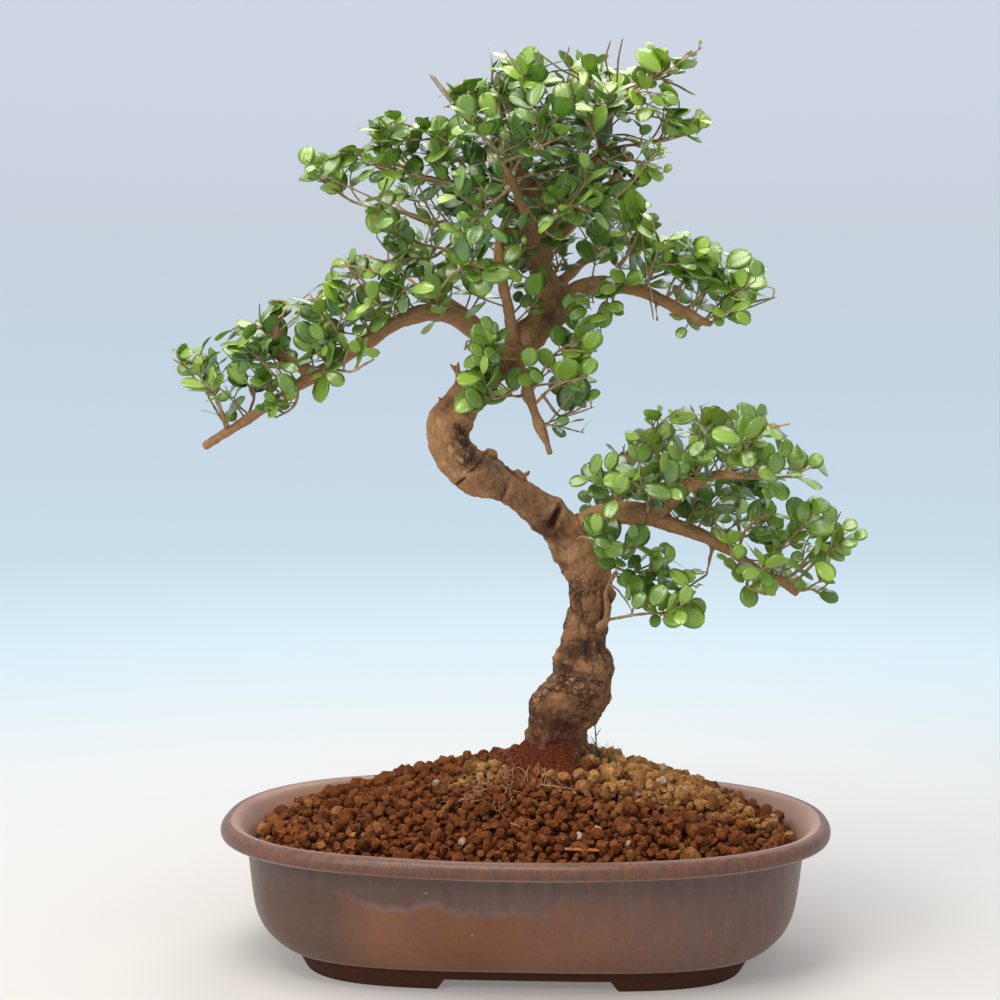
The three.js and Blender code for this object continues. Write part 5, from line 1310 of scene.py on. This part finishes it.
def spray_piece(name, twigs, leaves):
    """One spray as one piece: leaf blades first, then stalks and twigs, with what its two finishes read."""
    leaves = np.array(leaves)
    middle, tip = (leaves[:, 0:3] + leaves[:, 3:6] * leaves[:, 9:10] * share for share in (0.6, 0.95))
    leaves = leaves[(nearest_ring(middle)[1] > clear_of_bark) & in_pads(middle) & in_pads(tip)]
    # Leaves are darker inside a pad and low on the right, in the shade of the crown
    x, z = leaves[:, 0], leaves[:, 2]
    outline = np.vstack([upper_outline, lower_outline])
    from_edge = np.linalg.norm(leaves[:, None, [0, 2]] - outline, axis=-1).min(axis=1)
    shaded = np.where((z < 285) & (x > 0), np.clip((x - 20) / 60, 0.15, 1), 1)
    sunny = 0.36 + 0.18 * np.clip((x + 60) / 110, 0, 1)
    leaves[:, 10] = np.clip(0.72 * leaves[:, 10] + sunny - from_edge / 55, 0, 1) * shaded
    tone, young = leaves[:, 10], leaves[:, 12]
    blades = leaf_corners(leaves)
    count, per = blades.shape[:2]
    parts = [(blades.reshape(-1, 3), copies(blade_quads, count, per), copies(blade_triangles, count, per)),
             leaf_stalks(leaves), *(twig_part(twig) for twig in twigs)]
    corners, quads, triangles = joined(parts)
    piece = new_piece(name, corners, quads, triangles)
    rest = len(corners) - count * per
    young_twigs = [np.full(len(part[0]), 0.2 * twig.fine) for twig, part in zip(twigs, parts[2:])]
    give(piece, "leaf_tone", np.concatenate([np.repeat(tone, per), np.zeros(rest)]))
    give(piece, "leaf_youth", np.concatenate([
        np.repeat(young, per), np.repeat(0.5 + 0.5 * young, 6), *young_twigs]))
    give(piece, "leaf_under", np.concatenate([np.tile(blade[:, 2] < -0.5, count), np.zeros(rest)]))
    on_blade = np.vstack([np.tile(blade[:, :2] * [1, 0.5] + [0, 0.5], (count, 1)), np.zeros((rest, 2))])
    loops = numbers_in(piece.data.loops, "vertex_index", 1, np.int32)[:, 0]
    piece.data.uv_layers.new(name="blade").data.foreach_set("uv", on_blade[loops].astype(np.float32).ravel())
    piece.data.materials.append(leaf_green)
    piece.data.materials.append(twig_bark)
    is_wood = np.concatenate([quads[:, 0], triangles[:, 0]]) >= count * per
    piece.data.polygons.foreach_set("material_index", is_wood.astype(np.int32))
    return piece


spray_number = 0
for zone, sprays in spray_routes.items():
    for number, routes in enumerate(sprays, 1):
        spray = spray_piece(f"{zone}_spray_{number}", *grow_spray(routes, spray_number, fullness[zone]))
        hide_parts(f"spray_{zone}_{number}")
        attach(spray, "root")
        spray_number += 1


# Inner shoots: short leafy twigs that privet sends out of its older limbs, between the drawn sprays,
# with the long bare twigs left by clipping, and single large leaves that face the front.
shoot_limbs = {
    "crown": ("apex_left", "apex_mid", "apex_right", "side_right", "side_left", "low_left", "back_high",
              "front_high", "pale_limb", "upper_trunk"),
    "left": ("left_limb", "crook_branch", "back_left"),
    "centre": (),
    "right": ("right_limb", "back_right"),
    "lower": ("lower_limb", "lower_fork", "lower_back", "lower_front"),
}
# Start and end of each long twig
long_twigs = {
    "left": [
        (-91, -24, 343, -113, -30, 324), (-77, -22, 342, -90, -28, 332),
        (-96, -24, 349, -66, -30, 346), (-101, -16, 318, -82, -22, 316),
        (-151, -22, 288, -175, -28, 304),
    ],
    "centre": [
        (4, -12, 290, 25, -18, 294), (4, -10, 291, 38, -16, 319), (-1, -12, 286, -20, -18, 284),
        (-6, -14, 286, -26, -20, 302), (12, -10, 272, 35, -16, 280), (13, -8, 271, 30, -14, 267),
        (13, -14, 272, 27, -20, 291),
    ],
    "lower": [
        (85, -24, 247, 136, -30, 246), (94, -28, 247, 114, -34, 262), (72, -14, 257, 75, -20, 276),
        (66, -14, 262, 65, -20, 272), (69, -10, 264, 67, -16, 277), (89, -19, 273, 88, -25, 281),
        (111, -19, 275, 111, -25, 280), (84, -9, 223, 89, -15, 251), (86, -12, 227, 105, -18, 227),
        (98, -14, 215, 109, -20, 224), (101, -24, 248, 123, -30, 254), (95, -6, 205, 92, -12, 196),
        (144, -6, 205, 160, -12, 216), (131, -8, 200, 126, -14, 212), (51, -18, 196, 87, -24, 191),
    ],
    "crown": [
        (-31, -34, 420, -45, -40, 443), (30, -39, 394, -8, -45, 454), (20, -39, 445, 5, -45, 455),
        (23, -34, 447, 23, -40, 456), (-11, -39, 426, -11, -45, 443), (36, -44, 404, 22, -50, 433),
        (-46, -24, 373, -101, -30, 396), (-22, -29, 388, -76, -35, 400), (47, -14, 431, 88, -20, 458),
        (63, -14, 412, 87, -20, 417), (41, -19, 451, 43, -25, 461), (47, -19, 451, 49, -25, 462),
        (44, -34, 382, 67, -40, 406), (19, -36, 363, 38, -42, 386),
    ],
    "right": [
        (64, -14, 336, 57, -20, 376), (76, -6, 332, 83, -12, 344), (83, -8, 330, 100, -14, 347),
        (63, -4, 336, 65, -10, 324), (89, -4, 321, 126, -10, 335),
    ],
}
# Root and tip of each single leaf, and its tone from dark to pale
single_leaves = np.array([
    (-21, -52, 344, -5, -54, 347, 0.9), (-26, -40, 313, -19, -42, 306, 0.3),
    (-19, -40, 311, -11, -42, 303, 0.2), (-28, -36, 291, -20, -38, 281, 0.2),
    (3, -34, 300, 10, -36, 293, 0.3), (16, -24, 270, 21, -26, 261, 0.3),
    (69, -19, 446, 56, -22, 457, 0.95), (71, -19, 446, 81, -22, 445, 0.9), (59, -20, 440, 58, -21, 447, 0.8),
    (87, -22, 417, 91, -24, 424, 0.8),
    (68, -40, 433, 76, -42, 428, 0.3), (115, -24, 343, 115, -26, 353, 0.3),
    (104, -26, 328, 112, -28, 322, 0.4), (58, -52, 243, 73, -54, 239, 0.3),
    (54, -40, 181, 60, -42, 190, 0.2), (63, -44, 183, 70, -46, 194, 0.3),
    (74, -36, 181, 90, -38, 176, 0.6), (140, -30, 250, 147, -32, 257, 0.5),
    (157, -20, 220, 166, -22, 223, 0.5), (163, -18, 215, 171, -20, 218, 0.6),
    (157, -20, 212, 166, -22, 214, 0.5), (-172, -32, 305, -164, -34, 308, 0.7),
    (-136, -40, 303, -129, -42, 313, 0.3), (-121, -40, 298, -112, -42, 288, 0.3),
    (-98, -36, 298, -88, -38, 292, 0.3), (-73, -40, 368, -63, -42, 373, 0.3),
    (-64, -42, 419, -56, -44, 422, 0.4), (-90, -34, 406, -97, -36, 396, 0.3),
    (-101, -30, 400, -108, -32, 397, 0.3), (-95, -30, 403, -101, -32, 406, 0.3),
    (34, -50, 217, 44, -52, 214, 0.5), (90, -44, 265, 82, -46, 258, 0.3),
    (48, -24, 341, 38, -26, 338, 0.75), (51, -22, 341, 44, -22, 349, 0.7),
    (50, -20, 341, 59, -22, 347, 0.75), (35, -24, 332, 26, -26, 334, 0.3),
    (33, -22, 330, 23, -24, 325, 0.3), (40, -24, 330, 50, -26, 330, 0.5),
    (43, -22, 328, 50, -24, 327, 0.2), (82, -12, 321, 77, -14, 315, 0.4),
    (102, -14, 325, 113, -18, 325, 0.6), (101, -14, 325, 96, -16, 321, 0.6),
    (119, -12, 343, 115, -12, 353, 0.6), (109, -16, 341, 121, -18, 343, 0.8),
    (106, -14, 339, 93, -16, 341, 0.5), (100, -10, 350, 113, -12, 357, 0.6),
    (86, -10, 356, 99, -12, 360, 0.6), (85, -12, 355, 74, -12, 366, 0.5),
    (78, -18, 348, 66, -22, 354, 0.15), (80, -14, 351, 73, -16, 357, 0.4),
    (79, -20, 350, 94, -22, 347, 0.6), (99, -16, 350, 93, -18, 358, 0.8),
    (69, -24, 427, 73, -26, 436, 0.6), (66, -26, 410, 68, -28, 404, 0.5),
    (68, -32, 395, 73, -34, 399, 0.5),
])


def from_wood(point):
    """The point on a limb's axis nearest to a place, for a twig that has to start in the wood."""
    return line_points[nearest_ring(np.array([point], float))[0][0]]


def lone_leaf(root, tip, tone):
    """A leaf from root to tip whose upper face looks forward and up."""
    way, face = unit(tip - root), np.array([0.1, -0.75, 0.65])
    face = unit(face - way * (face @ way))
    return np.concatenate([root, way, face, [np.linalg.norm(tip - root) - stalk, tone, 0.3, 0.0, 0.5]])


for zone, limbs in shoot_limbs.items():
    shoots, leaves = [], []
    for limb in limbs:
        stem = Twig(np.array(wood_axes[limb], float)[:, :3], spray_number, 0, 1, 0)
        count = int(fullness[zone] * stem.length / limb_spacing)
        for number in range(count):
            t = 0.2 + 0.76 * (number + stem.draw(number, 31)) / count
            angle = golden_turn * number + 2.5 * stem.draw(number, 32)
            add_shoot(shoots, leaves, side_shoot(stem, t, angle, 100 + number, 1.25))
        spray_number += 1
    for number, row in enumerate(long_twigs[zone]):
        start, end = np.array(row, float).reshape(2, 3)
        twig = Twig([from_wood(start), start, end], spray_number, 200 + number, 0.52, 1, fine=True)
        shoots.append(twig)
        end_leaves = leaf_pair(twig, 1 - 0.7 / twig.length, 0, 0.62 if number % 2 else 0.3)
        for leaf in end_leaves:
            leaf[12] = 1.0
        leaves += end_leaves
        reach = np.linalg.norm(end - start)
        if number % 2 and reach > 14:
            for pair in range(1, int(reach / fine_step)):
                leaves += leaf_pair(twig, 1 - (0.7 + fine_step * pair) / twig.length, pair, 0.85)
    if zone == "crown":
        for number, row in enumerate(single_leaves):
            root, tip, wood_point = row[:3], row[3:6], from_wood(row[:3])
            bend = 0.5 * (wood_point + root) + [0, 2, 2]
            twig = Twig([wood_point, bend, root], spray_number, 300 + number, 0.6, 1, fine=True)
            shoots.append(twig)
            leaves += [lone_leaf(root, tip, row[6]), *leaf_pair(twig, 0.7, 1, 0.75)]
    spray_number += 1
    inner = spray_piece(f"{zone}_inner_shoots", shoots, leaves)
    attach(inner, "root")


# Peat: a mat of the old peaty soil that still clings to the foot of the trunk after repotting.
# It climbs the bark, thins out down the heap, and holds the crumbs there together.
peat_columns = 144
peat_profile = ((13.5, 9), (14.5, 8.2), (16, 6), (17.5, 4.5), (19, 3.6), (20.5, 2.6), (22.5, 1.6), (25, -1.5))


def peat_rings():
    """A lumpy collar: rings that go out from the trunk as the profile says, down, and back in underneath."""
    angle = turns(peat_columns)
    front = 0.5 - 0.5 * np.sin(angle + 0.44)
    rings = []
    for reach, lift in peat_profile:
        spread = 1 + (reach - 13.5) / 11.5 * (0.45 * front + 0.15 * np.sin(3 * angle + 1))
        x = trunk_foot[0] + reach * spread * np.cos(angle)
        y = trunk_foot[1] + reach * spread * np.sin(angle)
        place = np.stack([x, y, np.full(peat_columns, float(lift))], axis=-1)
        z = mound_height(x, y) + lift * (0.35 + 0.65 * front)
        rings.append(np.stack([x, y, z + 2.4 * lumps(place, 6, 51) + 2.2 * lumps(place, 2.4, 52)], axis=-1))
    return np.array([*rings, rings[-1] - [0, 0, 6], rings[0] * [1, 1, 0] + [0, 0, 92]])


peat_grid = peat_rings()
peat_count = len(peat_grid)
peat = new_piece("peat_collar", peat_grid,
                 (grid_quads(peat_count + 1, peat_columns) % (peat_count * peat_columns))[:, ::-1])
peat_finish, shader = new_finish("root_peat", 1.0, Specular_IOR_Level=0.15)
fibre = mottle(own_place(), 1.2, 4, 0.75, (1, 1, 2.5))
feed(shader["Base Color"], mix(fade(fibre, 0.35, 0.65), (48, 20, 12), (122, 60, 32)))
bump_up(shader, fibre, 1.0)
peat.data.materials.append(peat_finish)
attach(peat, "root")


# Roots: fine roots that came up with the old soil and lie loose over the crumbs, dry and pale away from
# the trunk, and red-brown close to it. They grew thin and even, and taper to a thread.
def strand(start, heading, length, radius, draw, wander=0.32):
    """A fine root: a line that wanders as it goes, laid over the heap, thinning to its end."""
    steps = max(int(length / 2), 4)
    headings = np.cumsum(draw.normal(0, wander, steps)) + heading
    walk = np.cumsum(np.stack([np.cos(headings), np.sin(headings)], axis=-1) * length / steps, axis=0) + start
    arch = 1.3 * np.sin(np.linspace(0, math.pi * draw.integers(1, 4), steps)) * draw.random()
    z = mound_height(*walk.T) + 2.6 + arch + 0.5 * draw.normal(size=steps)
    return tube(np.column_stack([walk, z]), radius * np.linspace(1, 0.45, steps), 5)


def strands(count, draw, *ranges, wander=0.32):
    """Fine roots. Their x, y, heading, length and radius are each a least plus a drawn share of a spread."""
    parts = []
    for _ in range(count):
        x, y, *others = (least + spread * draw.random() if spread else least for least, spread in ranges)
        parts.append(strand((x, y), *others, draw, wander))
    return parts


def strand_piece(name, parts, colours, roughness=0.75):
    """Several strands as one piece, in a mottled colour between two."""
    piece = new_piece(name, *joined(parts))
    finish, shader = new_finish(name + "_finish", roughness, Specular_IOR_Level=0.3)
    feed(shader["Base Color"], mix(fade(mottle(own_place(), 4, 2), 0.3, 0.7), *colours))
    piece.data.materials.append(finish)
    return piece


draw = np.random.default_rng(21)
pale_roots = strand_piece("pale_roots", [
    *strands(58, draw, (-2, -26), (-8, -34), (0.9 * math.pi, 0.8 * math.pi), (7, 16), (0.13, 0.13)),
    *strands(16, draw, (2, 14), (-14, -6), (-1.7, 0.8), (12, 12), (0.28, 0), wander=0.2),
    strand((6, -34), -0.1, 42, 0.4, draw, 0.03),
    strand((45, -61), 0.4, 15, 0.5, draw),
    strand((-6, -59), -0.8, 8, 0.5, draw),
    *strands(14, draw, (44, 44), (-26, 26), (0, 6.28), (8, 12), (0.28, 0)),
], ((128, 92, 62), (192, 154, 112)))
red_strands = []
for _ in range(90):
    turn = -math.pi / 2 + 1.3 * draw.normal()
    start = trunk_foot + (15 + 8 * draw.random()) * np.array([math.cos(turn), math.sin(turn)])
    red_strands.append(strand(start, turn + 0.3 * draw.normal(), 6 + 14 * draw.random(), 0.25, draw))
red_strands += strands(16, draw, (40, 6), (-42, -16), (0, 6.28), (6, 6), (0.22, 0))
red_roots = strand_piece("red_roots", red_strands, ((96, 44, 22), (166, 92, 54)))
for piece in (pale_roots, red_roots):
    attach(piece, "root")


# Moss: a patch of yellowed cushion moss left of the trunk, and taller dark moss right of it.
# Each grows as tufts of upright blades out of the crumbs.
def tufts(name, middles, count, spread, length, radius, colours, seed):
    """Thin upright blades, each a three-sided point, that lean out of small tufts on the heap."""
    draw = np.random.default_rng(seed)
    middle = np.repeat(np.array(middles, float), count, axis=0)
    foot = middle + draw.normal(0, spread, middle.shape)
    foot = np.column_stack([foot, mound_height(*foot.T) + 1.2])
    way = unit(np.column_stack([draw.normal(0, 0.5, (len(foot), 2)), np.ones(len(foot))]))
    tip = foot + way * (length * (0.5 + draw.random((len(foot), 1))))
    angle = turns(3)
    ring = np.stack([np.cos(angle), np.sin(angle), 0 * angle], axis=-1) * radius
    corners = np.concatenate([foot[:, None] + ring, tip[:, None]], axis=1).reshape(-1, 3)
    faces = copies(np.array([[0, 1, 3], [1, 2, 3], [2, 0, 3], [0, 2, 1]]), len(foot), 4)
    return strand_piece(name, [(corners, np.zeros((0, 4), int), faces)], colours, 0.8)


moss_middles = [(-31, 2), (-27, 0), (-23, -4), (-28, -6), (-19, -8), (-22, -10), (-34, -2), (-16, -6),
                (-25, -12)]
needle_middles = [(34, 2), (38, 0), (36, -6), (41, -8), (33, -10), (44, -2), (30, -14)]
moss = tufts("yellow_moss", moss_middles, 60, 1.8, 1.9, 0.4, ((108, 106, 44), (168, 160, 88)), 31)
needles = tufts("dark_moss", needle_middles, 22, 2.0, 8.5, 0.28, ((48, 44, 24), (104, 96, 52)), 32)
for piece in (moss, needles):
    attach(piece, "root")


# Litter: a dry upright sprig with three twiglets that stands in the dark moss, and a flat chip of wood that
# lies on the crumbs in front of the trunk.
share = np.linspace(0, 1, 18)
stem = np.column_stack([35 + 2.2 * share + 0.9 * np.sin(5 * share), -12 + 0.6 * np.sin(3 * share),
                        97 + 27 * share])
sprig_parts = [tube(stem, 0.55 - 0.3 * share, 6)]
share = np.linspace(0, 1, 6)
for at, side, rise in ((7, -1, 5), (10, 1, 4), (13, -1, 3)):
    twiglet = stem[at] + share[:, None] * [side * 2.6, -0.8, rise]
    sprig_parts.append(tube(twiglet, 0.3 - 0.15 * share, 5))
sprig = strand_piece("dark_sprig", sprig_parts, ((44, 34, 24), (84, 70, 48)))
share, angle = np.linspace(0, 1, 12), turns(10)
chip_line = np.column_stack([22 + 17 * share, -74.5 + 1.5 * share, 71.6 - 0.8 * share])
flat = 1 / np.sqrt((np.cos(angle) / 1.7) ** 2 + (np.sin(angle) / 0.45) ** 2)
chip_width = 0.75 + 0.25 * np.sin(math.pi * share)
chip_part = tube(chip_line, chip_width, 10, across=np.array([0, 1.0, 0.3]), factors=flat)
chip = strand_piece("wood_chip", [chip_part], ((150, 84, 44), (190, 124, 76)))
for piece in (sprig, chip):
    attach(piece, "root")


# Dried berries: what is left of a fruit cluster, black and shrunken, on a thin stalk that leaves the crown
# to the right.
berry_route = [from_wood((46, -30, 398)), (42, -27, 400), (47, -30, 398), (51, -30, 395.5), (55, -30, 391.5)]
berry_middles = ((46, -31, 396.5), (48.5, -30, 398), (50, -31, 394.5), (53, -30, 394.5), (54.5, -31, 391),
                 (56.5, -30, 393))
berry_turn = np.linspace(0.25, 2.9, 7)
berry_parts = [tube(follow(berry_route, np.linspace(0, 1, 20)), np.full(20, 0.3), 5)]
for middle in berry_middles:
    upright = np.array(middle) + np.cos(berry_turn)[:, None] * [0, 0, 1.15]
    berry_parts.append(tube(upright, 1.05 * np.sin(berry_turn), 8))
berries = strand_piece("dried_berries", berry_parts, ((16, 14, 20), (42, 36, 44)), 0.5)
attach(berries, "root")
